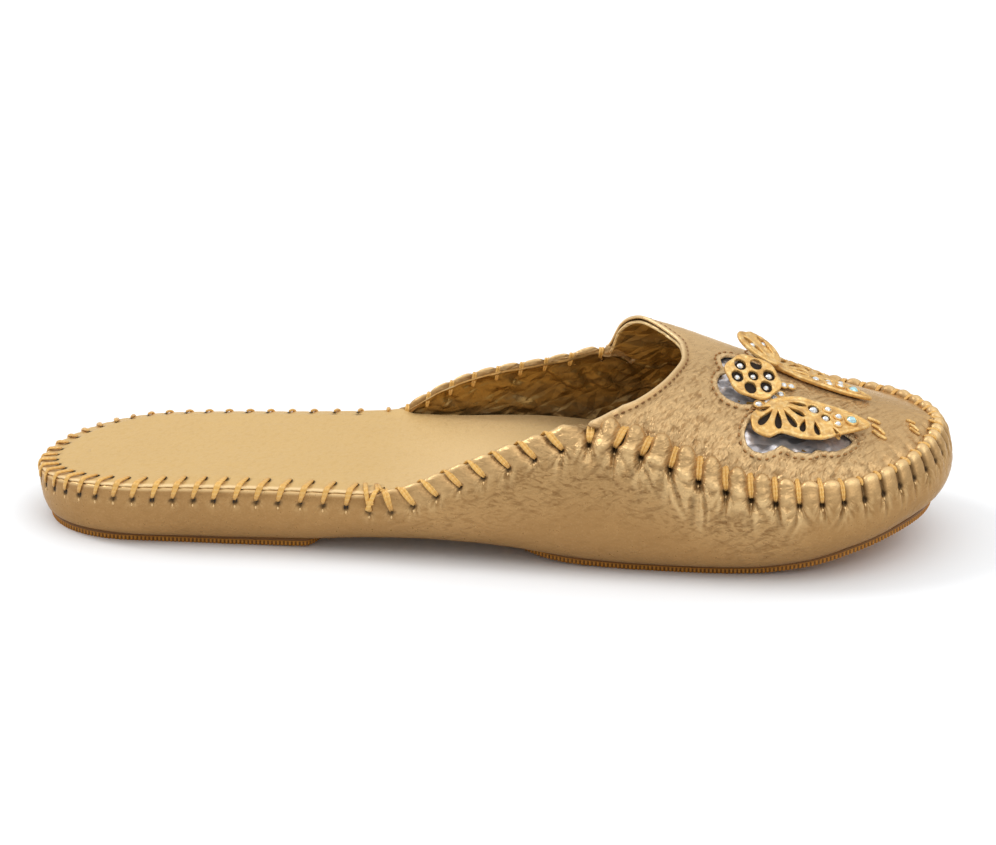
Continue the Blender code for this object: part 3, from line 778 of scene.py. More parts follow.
def gathers(runs, points, depth, random):
    """How far the wrap's leather stands out between the stitches and folds in at them, and its masks."""
    station, medial, _, _ = along(runs)
    lower = STITCH["lower"](station)
    climb = clamp((lower - depth) / (lower + 2))
    phase, off = stitch_phase(runs - slant_at(station, medial) * climb)
    puffy = zone("gathers", station)
    heel = zone("heel", station)
    toe = zone("toe", station)
    # The leather swells between the stitches, and a little below them, and folds in under the threads.
    band = smooth_step(depth, lower + 2.5 + 2.5 * puffy, lower - 2.0 + 1.2 * puffy)
    band = band * smooth_step(depth, -5.0, -2.0)
    swell = np.sin(math.pi * phase) ** (0.55 - 0.15 * puffy)
    rope = zone("rope edge", station) * np.where(medial, 1.0, zone("near rope edge", station))
    pillow = STITCH["pillow"](station) * (1 - 0.85 * far_wing(station, medial)) + 0.55 * rope
    height = pillow * (swell - 0.35) * band
    below = peak(depth - lower - 2.6 - 2.0 * puffy, 3.2 + 2.2 * puffy)
    height += (0.5 + 0.15 * puffy) * pillow * (swell - 0.5) * below
    height -= STITCH["groove"](station) * peak(off, 0.48 * STITCH["wide"](station)) * band
    hole = (off / HOLE_ROUND) ** 2 + ((depth - lower) / HOLE_ROUND) ** 2
    height -= (0.45 + 0.12 * pillow) * np.exp(-hole)
    height += 0.3 * heel * peak(depth - 0.1, 0.55)
    # Creases fan out below each stitch. ray, reach_out and star place the material's own finer ones.
    ray, reach_out, star, folds = (np.zeros(depth.shape) for _ in range(4))
    nearest = np.full(depth.shape, 1e9)
    for number, run in enumerate(STITCH_RUNS):
        at = along(run)[0]
        reach = STITCH["fan"](at) * random.uniform(0.8, 1.15)
        dx = run_gap(runs, run)
        near = np.abs(dx) < reach + 3
        dy = depth[:, near] - STITCH["lower"](at)
        gathered = JUNCTION < at < GATHERS_END
        count, spread = (6, 1.1) if gathered else (3, 0.35 if at > GATHERS_END else 0.7)
        widths = (0.4, 1.1) if gathered else (0.4, 0.7)
        across = dx[near] + 0 * dy
        folds[:, near] += fan(across, dy, STITCH["crease"](at), reach, count, spread, random, widths)
        if gathered:
            length, width = random.uniform(6.0, 9.0), random.uniform(1.8, 2.8)
            aside = dx[near] - random.uniform(-2.5, 2.5) - 0.25 * dy
            height[:, near] += 1.1 * np.exp(-((aside / width) ** 2 + ((dy - 7.0) / length * 1.6) ** 2))
        distance = np.hypot(across, dy + 0.5)
        closest = distance < nearest[:, near]
        within = clamp(1 - (2 * across / stitch("spacing", at)) ** 2) * smooth_step(dy, -1.0, 0.5)
        values = (
            (ray, 2.2 * np.arctan2(across, dy + 1.5) + 13.0 * number),
            (reach_out, distance),
            (star, within * peak(distance, 0.6 * reach) * smooth_step(distance, 0.6, 2.5)),
            (nearest, distance),
        )
        for field, value in values:
            field[:, near] = np.where(closest, value, field[:, near])
    height += folds
    # Crumples all over the wall, which end at the foot.
    crumple = zone("crumpled wall", station) * (1 - 0.8 * zone("rope edge", station))
    cells = crease_at(points, np.array([5.0, 5.0, 3.4]), 3.0)
    fade = smooth_step(depth, 26, 10) * smooth_step(depth, -1, 3)
    height += (0.04 + 0.42 * crumple) * (cells - 0.6) * fade
    height += 0.25 * noise_at(points, 16.0, 7.0) * smooth_step(depth, 0, 6)
    height *= smooth_step(np.arange(len(depth)), 0, 6)[:, None]
    # Painted shade in the holes, the grooves and the folds, in the gap under the heel's bead and a little
    # over the wall towards the toe; painted highlights on the crests, the pillows' tops and the folds'
    # ridges; and wrinkles where the shoe bends.
    groove = (0.45 + 0.3 * toe) * band * peak(off, 0.7) * np.clip(pillow + toe, 0.3, 1)
    dark = clamp(1.2 * np.exp(-(hole**2)) + groove)
    dark = np.maximum(dark, heel * smooth_step(depth, -0.55, -0.95))
    dark = clamp(dark + 0.36 * clamp(-folds / 0.40) + 0.05 * zone("darker wall", station))
    crest = (1 + 0.4 * toe) * peak(depth + 0.9, 0.7 + 0.4 * toe)
    crest = crest * (1 - heel) * (1 - 0.85 * puffy)
    crest = crest + heel * peak(depth, 0.42)
    # Painted highlight on the tops of the pillows between the stitches.
    tops = 0.40 * zone("painted pillow highlights", station) * band * clamp(swell - 0.15)
    light = clamp(crest + tops + (0.55 - 0.35 * toe) * clamp(folds / 0.22))
    creased = 0.5 * (zone("first wrinkles", station) + zone("more wrinkles", station))
    creased = creased * zone("no wrinkles at the tip", station)
    wrinkle = clamp(0.12 + creased * smooth_step(depth, 28, 10))
    masks = {"dark": dark, "light": light, "wrinkle": wrinkle, "ray": ray, "reach": reach_out, "star": star}
    return height, masks


def across_fill(points, ring, cells, height_of):
    """Points and faces that close a ring of points, in rows from the lateral side to the medial side."""
    count = len(ring)
    half = count // 2
    share = np.linspace(0, 1, cells + 1)[1:-1, None]
    rows, made, start = [[ring[0]]], [], len(points)
    for i in range(1, half):
        plan = points[ring[i], :2] * (1 - share) + points[ring[count - i], :2] * share
        made.append(np.column_stack([plan, height_of(plan)]))
        rows.append([ring[i], *range(start, start + cells - 1), ring[count - i]])
        start += cells - 1
    rows.append([ring[half]])
    faces = []
    for row, following in zip(rows, rows[1:]):
        if len(row) == 1 or len(following) == 1:
            tip, side = (row, following) if len(row) == 1 else (following, row)
            faces += [[tip[0], a, b] for a, b in zip(side, side[1:])]
        else:
            faces += [[a, b, c, d] for a, b, c, d in zip(row, row[1:], following[1:], following)]
    return np.vstack([points, *made]), faces


class Wrap:
    """The wrap's displaced grid, kept so that threads and holes can be laid on it."""

    def __init__(self):
        self.runs = wrap_runs()
        base, self.depth = wrap_sections(self.runs)
        self.normals = grid_normals(base, True)
        height, self.masks = gathers(self.runs, base, self.depth, np.random.default_rng(4))
        station = along(self.runs)[0]
        upper = smooth_step(self.depth, STITCH["lower"](station) * 1.1, 0.0)
        self.grid = base + self.normals * height[..., None]
        self.grid[..., 2] -= stitch_dip(self.runs) * upper

    def at(self, run, depth):
        """Point and normal on the displaced wrap."""
        run = run % AROUND
        i = int(np.searchsorted(self.runs, run, side="right")) - 1
        j = (i + 1) % len(self.runs)
        share = (run - self.runs[i]) / ((self.runs[j] - self.runs[i]) % AROUND)
        found = []
        for field in (self.grid, self.normals):
            before, after = (at_runs(-depth, -self.depth[:, k], field[:, k]) for k in (i, j))
            found.append(before * (1 - share) + after * share)
        return found

    def build(self, material):
        points = self.grid.reshape(-1, 3)
        count = len(self.runs)
        faces = grid_faces(len(self.grid), count, True).tolist()
        filled, fill = across_fill(points, range(count), 10, lambda plan: SECTION["underside"](plan[:, 0]))
        extra = np.zeros(len(filled) - len(points))
        masks = {key: np.concatenate([values.ravel(), extra]) for key, values in self.masks.items()}
        make_piece("wrap", filled, faces + fill, material, "leather", masks, replaces=("upper",))


# ---------------------------------------------------------------- the padded footbed

# The footbed's edge: how far in from its outermost line, and how far up from the lip's crown.
FOOTBED_EDGE = (
    "row in up",
    (0.0, 1.3, -1.0),
    (0.8, 0.4, -0.85),
    (1.6, 0.0, -0.55),
    (2.4, 0.2, -0.20),
    (3.2, 0.75, 0.0),
    (4.2, 1.5, 0.0),
    (5.4, 2.6, 0.02),
    (7.0, 4.0, 0.05),
    (9.0, 6.0, 0.08),
    (12.0, 9.0, 0.08),
    (16.0, 14.0, 0.05),
)
FOOTBED_HOLE_IN = 4.5  # how far in from the edge its stitch holes lie
FOOTBED_SPACING = 0.75


def footbed_frame(runs):
    """Where the crown of the footbed's lip lies: over the wrap's lip at the heel, inside the wings ahead.

    Returns the runs' station, side, plan point and inward direction, the crown's inset and height, and
    how much of the lip there is.
    """
    station, medial, plan, inward = along(runs)
    heel = zone("footbed lip", station)
    foot = SECTION["footbed"](station)
    within = inset_at_height(station, medial, foot) + WALL + 0.3
    inset = heel * (by_side("_in", station, medial) - 0.1) + (1 - heel) * within
    height = heel * (by_side("_top", station, medial) + 0.1) + (1 - heel) * foot
    return station, medial, plan, inward, inset, height, heel


def footbed_rise(station, crown, inside_by):
    """From the lip's crown, the footbed's height settles to its own height at the point's station."""
    return (SECTION["footbed"](station) - crown) * smooth_step(inside_by, 0.2, 7.0)


def footbed_painted_light(station):
    """How much painted light brightens the footbed, more towards the toe, where the wings and collar shade
    it.
    """
    return 0.45 * zone("painted footbed light", station)


def footbed_press(runs, off, go_in, sewn):
    """How far the heel's stitches press the footbed in, with small creases past their holes, and how much
    painted shade lies round the holes.
    """
    random = np.random.default_rng(9)
    hole = (off / 0.7) ** 2 + ((go_in - FOOTBED_HOLE_IN) / 0.7) ** 2
    press = -0.35 * sewn * np.exp(-hole) - 0.18 * sewn * peak(off, 0.8) * (go_in < FOOTBED_HOLE_IN)
    for run in STITCH_RUNS:
        at, side, _, _ = along(run)
        if at < KNOT + 8:
            dx = run_gap(runs - run, slant_at(at, side))
            near = np.abs(dx) < 8
            dy = go_in - FOOTBED_HOLE_IN + 0 * dx[near]
            reach = 4.5 if at < KNOT - 14 else 7.0
            press[:, near] += fan(dx[near] + 0 * dy, dy, 0.10, reach, 3, 0.7, random)
    return press, clamp(sewn * peak(hole, 1.6))


def make_footbed(material):
    """The padded footbed: a rounded lip round the heel, and a soft middle."""
    cells = 2 * int(AROUND / FOOTBED_SPACING / 2)
    half = cells // 2
    lateral = np.linspace(0, HALF_WAY, half, endpoint=False)
    medial_runs = AROUND - np.linspace(0, AROUND - HALF_WAY, half, endpoint=False)
    runs = np.concatenate([lateral, [HALF_WAY], medial_runs[:0:-1]])
    station, medial, plan, inward, inset, crown, heel = footbed_frame(runs)
    edge = columns(FOOTBED_EDGE)
    row = np.concatenate([np.linspace(0, 7, 18), np.linspace(7, 16, 13)[1:]])[:, None]
    go_in = edge["in"](row)
    height = crown + edge["up"](row) + footbed_rise(station + inward[:, 0] * go_in, crown, go_in)
    phase, off = stitch_phase(runs - slant_at(station, medial))
    scallop = 0.22 * heel * (np.sin(math.pi * phase) - 0.5) * peak(row - 2.2, 1.6)
    sewn = heel * np.where(medial, smooth_step(station, KNOT - 3, KNOT - 9), 1)
    press, dark = footbed_press(runs, off, go_in, sewn)
    points = from_outline(plan, inward, inset + go_in - scallop, height + press)
    points[..., 2] += 0.10 * noise_at(points, 11.0, 2.0) * smooth_step(go_in, 3, 8)
    # Painted shade round the holes and at the lip's outer edge, a painted highlight on the lip's crown, and
    # painted light towards the toe.
    dark = np.maximum(dark, heel * smooth_step(row, 0.9, 0.4))
    light = np.maximum(clamp(heel * peak(row - 2.4, 0.9)), footbed_painted_light(station))
    flat = points.reshape(-1, 3)
    ring = range((len(row) - 1) * cells, len(row) * cells)

    def middle_height(at):
        level = SECTION["footbed"](at[:, 0]) + 0.05
        within = smooth_step(np.abs(at[:, 1]), 24, 14)
        within = within * smooth_step(at[:, 0], 16, 45) * smooth_step(at[:, 0], 238, 215)
        return level + 0.35 * noise_at(np.column_stack([at, level]), 22.0, 5.0) * within

    all_points, fill = across_fill(flat, ring, 30, middle_height)
    extra = np.zeros(len(all_points) - len(flat))
    wrinkle = 0.35 + 0.4 * zone("wrinkled footbed", station) + 0 * dark
    masks = {"dark": dark, "light": light, "wrinkle": wrinkle}
    masks = {key: np.concatenate([value.ravel(), extra + value[-1, 0]]) for key, value in masks.items()}
    # The middle gets the same painted light.
    masks["light"][len(flat):] = footbed_painted_light(all_points[len(flat):, 0])
    faces = grid_faces(len(row), cells, True).tolist() + fill
    footbed = make_piece("footbed", all_points, faces, material, "footbed", masks, replaces=("insole",))


# ---------------------------------------------------------------- hand-sewn threads and their holes

THREAD_THICK = 0.75
THREAD_DIVE = 1.3 * THREAD_THICK       # how far a thread's ends go into the leather
THREAD_LIFTS = {"heel": (0, 0.46), "wing": (0.3, 0), "toe": (0, 0.32)}  # (in, up) of its end past the bead
TOE_HIDDEN = 226.0     # past this station the near threads' lower part runs inside the wall
HIDDEN_ROWS = 12       # and these first points of their paths are left out
WRAP_SPOTS = 22        # points of a stitch's path that are taken from the wrap
PATH_POINTS = 24       # and those that the taut path then has
PATH_SMOOTHING = 3     # rounds of smoothing


def taut(path):
    """The points of a path in (in, up) that a tight thread from its start to its end would touch."""
    kept = []
    for point in path:
        while len(kept) > 1:
            a, b = kept[-1] - kept[-2], point - kept[-1]
            if a[0] * b[1] - a[1] * b[0] < 0:
                break
            kept.pop()
        kept.append(point)
    return np.array(kept)


def upper_hole(run, plan, inward):
    """Where a stitch goes back in, as (in, up) points beyond the wrap's bead, and which edge it sews."""
    station, medial, _, _, inset, crown, _ = footbed_frame(run)
    if station < KNOT + 2:
        short = 0.5 * float(smooth_step(station, 14, 30)) if medial else 0.0
        steps = np.array([0.05, 0.4, 0.9, 2.2, FOOTBED_HOLE_IN * (1 - short)])
        steps[3] = min(steps[3], steps[4] - 0.2)
        rise = np.array([-0.5, -0.1, 0.0, 0.0, 0.05])
        up = crown + rise + footbed_rise(station + inward[0] * steps, crown, steps)
        return np.column_stack([inset + steps, up]), "heel"
    if station < JUNCTION + 1:
        return (lining_hole(run) if medial else None), "wing"
    inset = plug_hole_in(station, medial) - 0.6 * zone("toe holes", station)
    spot = plan + inward * inset
    return np.array([[inset, float(plug_height(spot)) - 0.2 - float(plug_dip(station))]]), "toe"


def plug_hole_in(station, medial):
    """How far inside the belly the seam's holes in the plug lie."""
    return by_side("_in", station, medial) + WELT_IN + 0.9


def lining_hole(run):
    """Where a stitch of the medial wing goes through the lining, as (in, up)."""
    station, medial, _, _ = (np.atleast_1d(value) for value in along(run))
    height = lining_top(station, medial) - 2.4
    inset = inset_at_height(station, medial, height) + lining_gap(medial) + 0.9
    return np.array([[float(inset[0]), float(height[0])]])


def plug_dip(station):
    """How far a stitch pulls the plug down beside it."""
    return 0.7 * STITCH["dip"](station)


def thread_lift(station, medial):
    """How far a taut thread stands off the groove it crosses, most on the rope-like far edge of the toe."""
    rope = zone("rope edge", station) * np.where(medial, 1.0, zone("near rope threads", station))
    return 0.3 * STITCH["pillow"](station) + 0.9 * rope


def stitch_path(wrap, run, slant=None):
    """A stitch's centre line, and the outward direction at each of its points."""
    station, medial, plan, inward = along(run)
    lower = stitch("lower", station)
    if slant is None:
        slant = float(slant_at(station, medial))
    bead = float(sum(bead_size(key, station, medial) for key in FAR_EDGE)) - 1.2
    beyond, edge = upper_hole(run + slant, *along(run + slant)[2:])
    last = -bead * (1.0 if medial else 0.6) if edge == "wing" else -float(BEAD["width"](station)) * 0.9
    depths = np.linspace(lower - 0.9, last, WRAP_SPOTS)
    share = (lower - depths) / (lower - last) * (1.0 if edge == "wing" else 0.75)
    found = [wrap.at(run + slant * f, depth) for f, depth in zip(share, depths)]
    lift = THREAD_THICK * 0.42 + float(thread_lift(station, medial)) * np.sin(share * math.pi) ** 0.5
    spots = np.array([point + normal * up for (point, normal), up in zip(found, lift)])
    flat = np.column_stack([(spots[:, :2] - plan) @ inward, spots[:, 2]])
    if edge == "heel":
        over_lip = (flat[-1, 0] + 0.7, np.max(flat[:, 1]) + 0.16)
        flat = np.vstack([flat, over_lip])
    if beyond is not None:
        flat = np.vstack([flat, beyond + THREAD_LIFTS[edge]])
    chain = taut(flat)
    length = path_runs(chain)
    at = np.linspace(0, length[-1], PATH_POINTS)
    chain = at_runs(at, length, chain)
    for _ in range(PATH_SMOOTHING):
        chain[1:-1] = (chain[:-2] + 2 * chain[1:-1] + chain[2:]) / 4
    if edge == "heel":
        chain[:, 1] += 0.08 * np.sin(at / length[-1] * math.pi)
    step = np.gradient(chain, axis=0)
    out = unit(np.column_stack([-step[:, 1], step[:, 0]]))
    tangent = np.array([inward[1], -inward[0]])
    sideways = at / length[-1] * slant
    path = np.column_stack([plan + chain[:, :1] * inward + sideways[:, None] * tangent, chain[:, 1]])
    normals = np.column_stack([out[:, :1] * inward, out[:, 1]])
    path = np.vstack([path[0] - normals[0] * THREAD_DIVE, path, path[-1] - normals[-1] * THREAD_DIVE])
    return path, np.vstack([normals[0], normals, normals[-1]])


def add_hole(pile, centre, normal, forward, radius):
    """A dark little dish of painted shade that stands for an awl hole, with a rounded edge."""
    aside = unit(np.cross(normal, forward))
    forward = np.cross(aside, normal)
    sides = 12
    turn = full_turn(sides)
    rings = []
    for share, up in ((1.0, 0.02), (0.75, 0.10), (0.35, -0.10)):
        ring = np.cos(turn)[:, None] * forward * radius * 1.15 + np.sin(turn)[:, None] * aside * radius
        rings.append(centre + ring * share + normal * up)
    points = np.vstack([*rings, centre - normal * 0.2])
    last = sides * (len(rings) - 1)
    faces = grid_faces(len(rings), sides, True).tolist()
    faces += [[last + i, last + (i + 1) % sides, last + sides] for i in range(sides)]
    pile.add(points, faces)


def tone_and_end_shade(ply, base):
    """How dark a thread is along its length: a random tone of its own, and painted shade where it goes into
    its holes.
    """
    share = ply / np.max(ply)
    return clamp(base + peak(share, 0.16) + peak(1 - share, 0.16))


def make_threads(wrap, thread, shadow, leather):
    """The whip stitches round the heel and wings, and the stitches of the puckered seam."""
    random = np.random.default_rng(12)
    threads, holes, nicks = Pile(), Pile(), Pile()
    for run in STITCH_RUNS:
        at = run + random.uniform(-0.25, 0.25) * 0.3
        path, normals = stitch_path(wrap, at)
        station, medial, _, _ = along(run)
        wide = stitch("wide", station) * random.uniform(0.9, 1.1)
        lower = stitch("lower", station)
        strands = (-0.24, 0.24) if station > KNOT else (0.0,)
        size = 0.70 if station < KNOT else 0.8
        if station < KNOT + 4:
            centre, normal = wrap.at(at, lower + 0.1)
            add_hole(holes, centre + normal * 0.08, normal, unit(path[1] - path[3]), size)
        # A short ridge below the hole, where the thread pulls the leather up, with a painted highlight on it.
        spots = [wrap.at(at, lower + down) for down in (0.95, 1.2, 1.5, 1.8)]
        nick = np.array([point + normal * 0.1 for point, normal in spots])
        points, faces, _ = tube(nick, 0.60, 0.35, np.array([normal for _, normal in spots]), 6)
        nicks.add(points, faces, light=1.0)
        if station < KNOT - 7 * medial or station > JUNCTION + 8:
            forward = unit(path[-2] - path[-3])
            centre = path[-2] - normals[-2] * THREAD_THICK * 0.5 + forward * 0.35
            add_hole(holes, centre, normals[-2], forward, 0.8 * size)
        if medial and 20 < station < JUNCTION:
            wide *= 0.7
        if run == knot_run():
            continue
        if station > TOE_HIDDEN and not medial:
            wide *= 0.8
            path, normals = path[HIDDEN_ROWS:], normals[HIDDEN_ROWS:]
            path = np.vstack([path[0] - normals[0] * THREAD_DIVE, path])
            normals = np.vstack([normals[:1], normals])
        aside = unit(np.cross(np.gradient(path, axis=0), normals))
        swell = np.sin(np.linspace(0.08, 0.92, len(path)) * math.pi)
        width = (0.5 + 0.55 * swell) * wide / len(strands) * 1.1
        for strand in strands:
            middle = path + aside * (strand * wide * (0.35 + 0.65 * swell))[:, None]
            points, faces, ply = tube(middle, width, THREAD_THICK, normals)
            threads.add(points, faces, ply=ply, tone=tone_and_end_shade(ply, random.uniform(0, 0.3)))
    add_knot(wrap, threads)
    threads.piece("hand_stitches", thread, "thread")
    holes.piece("stitch_holes", shadow, "lining")
    nicks.piece("hole_edges", leather, "leather")


def knot_run():
    """The run of the lateral stitch where the heel's thread is tied off."""
    return STITCH_RUNS[np.argmin(np.abs(STITCH_RUNS - run_at(KNOT, False)))]


def add_knot(wrap, threads):
    """Two threads that leave one hole and part, with a small turn of thread where they cross."""
    for offset, slant, lift in ((0.35, -2.4, 0.3), (-0.35, 2.6, 0.5)):
        path, normals = stitch_path(wrap, knot_run() + offset, slant)
        points, faces, ply = tube(path + normals * lift, 1.3, THREAD_THICK, normals)
        # The lower thread gets more painted shade than the one over it.
        threads.add(points, faces, ply=ply, tone=tone_and_end_shade(ply, 0.4 - lift))
    middle = len(path) // 3
    around = np.linspace(0, 2 * math.pi, 25)[:, None]
    loop = path[middle] + normals[middle] * 0.5
    loop = loop + 0.5 * (np.cos(around) * (1.6, 0.0, 0.0) + np.sin(around) * (0.0, 0.2, 0.5))
    points, faces, ply = tube(loop, 0.8, 0.8, np.tile(normals[middle], (len(loop), 1)))
    threads.add(points, faces, ply=ply, tone=0.3)


# ---------------------------------------------------------------- machine stitches


def add_dashes(pile, path, up, pitch, length, width):
    """A row of short machine stitches along a plan path on the plug."""
    run = path_runs(path)
    sag = np.array([-0.25, 0.12, 0.16, 0.12, -0.25])[:, None]
    for start in np.arange(pitch / 2, run[-1] - length, pitch):
        plan = at_runs(np.linspace(start, start + length, len(sag)), run, path)
        points, normals = lay(plan, above_plug(up))
        shape, faces, ply = tube(points + normals * sag, width, 0.4, normals, 6)
        pile.add(shape, faces, ply=ply, tone=0.5)


def offset_path(path, distance):
    """The plan path moved to its left."""
    run = unit(np.gradient(path, axis=0))
    return path + np.column_stack([-run[:, 1], run[:, 0]]) * distance


# ---------------------------------------------------------------- the butterfly's plan

BODY_ACROSS = -8.0     # the forewings mirror each other about this line
FAR_ROOT = -1.2        # the far forewing's edge nearest the body, and how much narrower that wing is
FAR_NARROW = 0.75

FOREWING = (
    (201.8, -20.9),
    (199.5, -25.0),
    (200.2, -28.9),
    (204.0, -30.3),
    (207.8, -28.2),
    (212.3, -28.9),
    (217.5, -28.0),
    (223.0, -24.6),
    (231.2, -17.3),
    (222.5, -14.8),
    (213.0, -15.0),
    (205.2, -17.4),
)

# The openings in the plug, over which the wings stand.
FORE_OPENING = (
    (202.5, -20.5),
    (198.6, -24.4),
    (197.4, -28.4),
    (198.6, -31.6),
    (202.4, -32.6),
    (205.6, -31.2),
    (208.0, -29.7),
    (211.4, -30.6),
    (215.4, -30.0),
    (217.6, -28.4),
    (221.4, -27.4),
    (225.4, -24.4),
    (227.0, -21.6),
    (222.0, -19.0),
    (212.0, -19.0),
)
HIND_OPENING = (
    (196.5, -19.9),
    (192.8, -19.6),
    (190.0, -17.0),
    (189.2, -13.6),
    (189.8, -10.6),
    (191.4, -8.0),
    (190.2, -5.4),
    (189.6, -2.4),
    (190.8, 0.6),
    (193.6, 2.4),
    (197.5, 2.5),
    (201.0, 1.0),
    (202.5, -8.0),
    (201.0, -17.0),
)
OPENING_STEP = 0.35
FOIL_DEEP = 1.5        # how far the foil lies below the plug's outside


def mirrored(loop):
    """The far wing's loop for one of the near wing: mirrored, narrower, and turned the same way round."""
    far = np.asarray(loop, float) * (1, -1) + (0, 2 * BODY_ACROSS)
    far[:, 1] = FAR_ROOT + (far[:, 1] - FAR_ROOT) * FAR_NARROW
    return far[::-1]


OPENINGS = [
    closed_path(HIND_OPENING, OPENING_STEP),
    closed_path(FORE_OPENING, OPENING_STEP),
    closed_path(mirrored(FORE_OPENING), OPENING_STEP),
]


# ---------------------------------------------------------------- the plug

PLUG_STEP = 0.42       # between the points of its mesh
COLLAR_BAND = 1.25     # width of the folded band between the collar's edge and its stitches
EDGE_REACH = 0.4       # how far the plug's rolled edge comes out, and how deep it goes
EDGE_FOLD = 0.9
RIM_REACH = 0.35       # how far an opening's rolled edge comes in
RIM_STITCHES_OUT = 1.35        # how far outside an opening's edge its stitches lie
COLLAR_ENDS = 20       # points of the collar's path that have no stitches, at each end
# Machine stitches: how high they lie over the plug's plain height, their pitch, length and width.
NEAR_COLLAR_STITCHES = (-0.05, 2.0, 1.25, 0.42)
FAR_COLLAR_STITCHES = (-0.22, 2.0, 1.25, 0.36)
RIM_STITCHES = (0.1, 2.1, 1.2, 0.55)
TUCK = 1.3             # how far the collar's ends are pressed down under the seam


def collar_path(count, ahead=0.0):
    """Plan points of the collar edge from the lateral junction to the medial one."""
    ends = [plug_edge(np.array([run_at(JUNCTION, side)]))[0, :2] for side in (False, True)]
    return smooth_path([ends[0], *COLLAR, ends[1]], count) + (ahead, 0)


def seam_path(spacing, outward):
    """Plan points of the plug's sewn edge from the medial junction round the toe to the lateral one."""
    start, end = run_at(JUNCTION, True), run_at(JUNCTION, False)
    runs = np.linspace(start, end, int((start - end) / spacing))
    _, _, _, inward = along(runs)
    return plug_edge(runs)[:, :2] - inward * outward


def plug_outline(outward=0.5, ahead=0.0):
    """The plug's outline in plan, anticlockwise, and which of its points lie on the collar."""
    seam = seam_path(0.45, outward)[::-1]
    collar = collar_path(150, ahead)[::-1]
    outline = np.vstack([seam, collar[1:-1]])
    return outline, np.arange(len(outline)) >= len(seam)


SEAM_LINE = plug_edge(np.linspace(run_at(JUNCTION, False), run_at(JUNCTION, True), 700))[:, :2]
COLLAR_LINE = collar_path(300)
RIM_LINE = np.vstack(OPENINGS)


def leather_folds(plan, height):
    """The plug's wrinkles: short slanting folds, strongest low on the lateral side."""
    spot = np.column_stack([plan, height])
    swirl = noise_at(spot, 9.0, 11.0)
    turn = math.radians(38)
    lengthwise = spot[:, 0] * math.cos(turn) + spot[:, 1] * math.sin(turn) + 1.8 * swirl
    crosswise = -spot[:, 0] * math.sin(turn) + spot[:, 1] * math.cos(turn) + 1.8 * swirl
    turned = np.column_stack([lengthwise / 1.9, crosswise / 3.8, spot[:, 2] / 3.0])
    ridged = 1 - 2 * np.abs(noise_at(turned, 1.0, 21.0))
    cells = crease_at(turned, 1.7, 4.0)
    return 0.5 * ridged + 0.5 * (cells - 0.5)


def plug_relief(plan):
    """How far the plug's leather stands out: folds, the folded collar, the seam's puckers, opening rims."""
    base = plug_height(plan)
    collar = distance_to(plan, COLLAR_LINE)
    rim = distance_to(plan, RIM_LINE)
    side = smooth_step(plan[:, 1], 8, -16)
    toe = 1 - 0.65 * zone("smooth toe", plan[:, 0])
    strength = (0.12 + 0.26 * side) * toe * smooth_step(collar, 1.5, 6.0)
    relief = strength * leather_folds(plan, base)
    relief += 0.14 * smooth_step(collar, COLLAR_BAND + 0.2, COLLAR_BAND - 0.5)
    relief -= 0.16 * peak(collar - COLLAR_BAND, 0.4)
    relief -= TUCK * smooth_step(distance_to(plan, COLLAR_LINE[[0, -1]]), 11.0, 2.0)
    relief += 0.32 * peak(rim - 0.45, 0.5) - 0.14 * peak(rim - 1.6, 0.45)
    random = np.random.default_rng(31)
    for run in STITCH_RUNS:
        at, medial, spot, inward = along(run)
        if at < JUNCTION + 2:
            continue
        offset = plan - (spot + inward * plug_hole_in(at, medial))
        near = np.hypot(*offset.T) < 9
        dx = offset[near] @ np.array([inward[1], -inward[0]])
        dy = offset[near] @ inward
        depth = 0.16 + 0.22 * float(zone("deep gathers", at))
        relief[near] += fan(dx, dy, depth, 5.5, 3, 0.8, random)
        relief[near] -= 0.4 * np.exp(-((dx / 0.9) ** 2 + (dy / 0.9) ** 2))
        pull = peak(dx, 1.8) * smooth_step(dy, 4.5, -0.5) * smooth_step(collar[near], 1.5, 4.5)
        relief[near] -= float(plug_dip(at)) * pull
    return relief + smooth_step(distance_to(plan, SEAM_LINE), 5.0, 0.5) * 0.25


def plug_masks(plan):
    """Painted highlights on the collar's edge, the openings' rims and the top, painted shade in the stitch
    grooves and over the lateral side, and wrinkles mostly on the lateral side.
    """
    collar = distance_to(plan, COLLAR_LINE)
    rim = distance_to(plan, RIM_LINE)
    side = smooth_step(plan[:, 1], 14, -14) * (1 - 0.7 * zone("toe of the plug", plan[:, 0]))
    # Painted highlights on the collar's folded edge and the openings' rims, and painted light over the top.
    light = clamp(0.9 * peak(collar, 0.45) + 0.8 * peak(rim, 0.6))
    light = clamp(light + 0.45 * (1 - side) * zone("painted vamp top light", plan[:, 0]))
    # Painted shade along the stitch grooves of the collar and the rims, and over the lateral side.
    dark = 0.2 * peak(collar - COLLAR_BAND, 0.35)
    dark = clamp(dark + 0.25 * peak(rim - RIM_STITCHES_OUT, 0.35))
    dark = clamp(dark + 0.13 * side)
    wrinkle = clamp(0.2 + 0.8 * side) * smooth_step(collar, 1.0, 3.0)
    return {"dark": dark, "light": light, "wrinkle": wrinkle}


def above_plug(up):
    """The height function of a surface that lies above the plug, or below it."""
    return lambda plan: plug_height(plan) + up


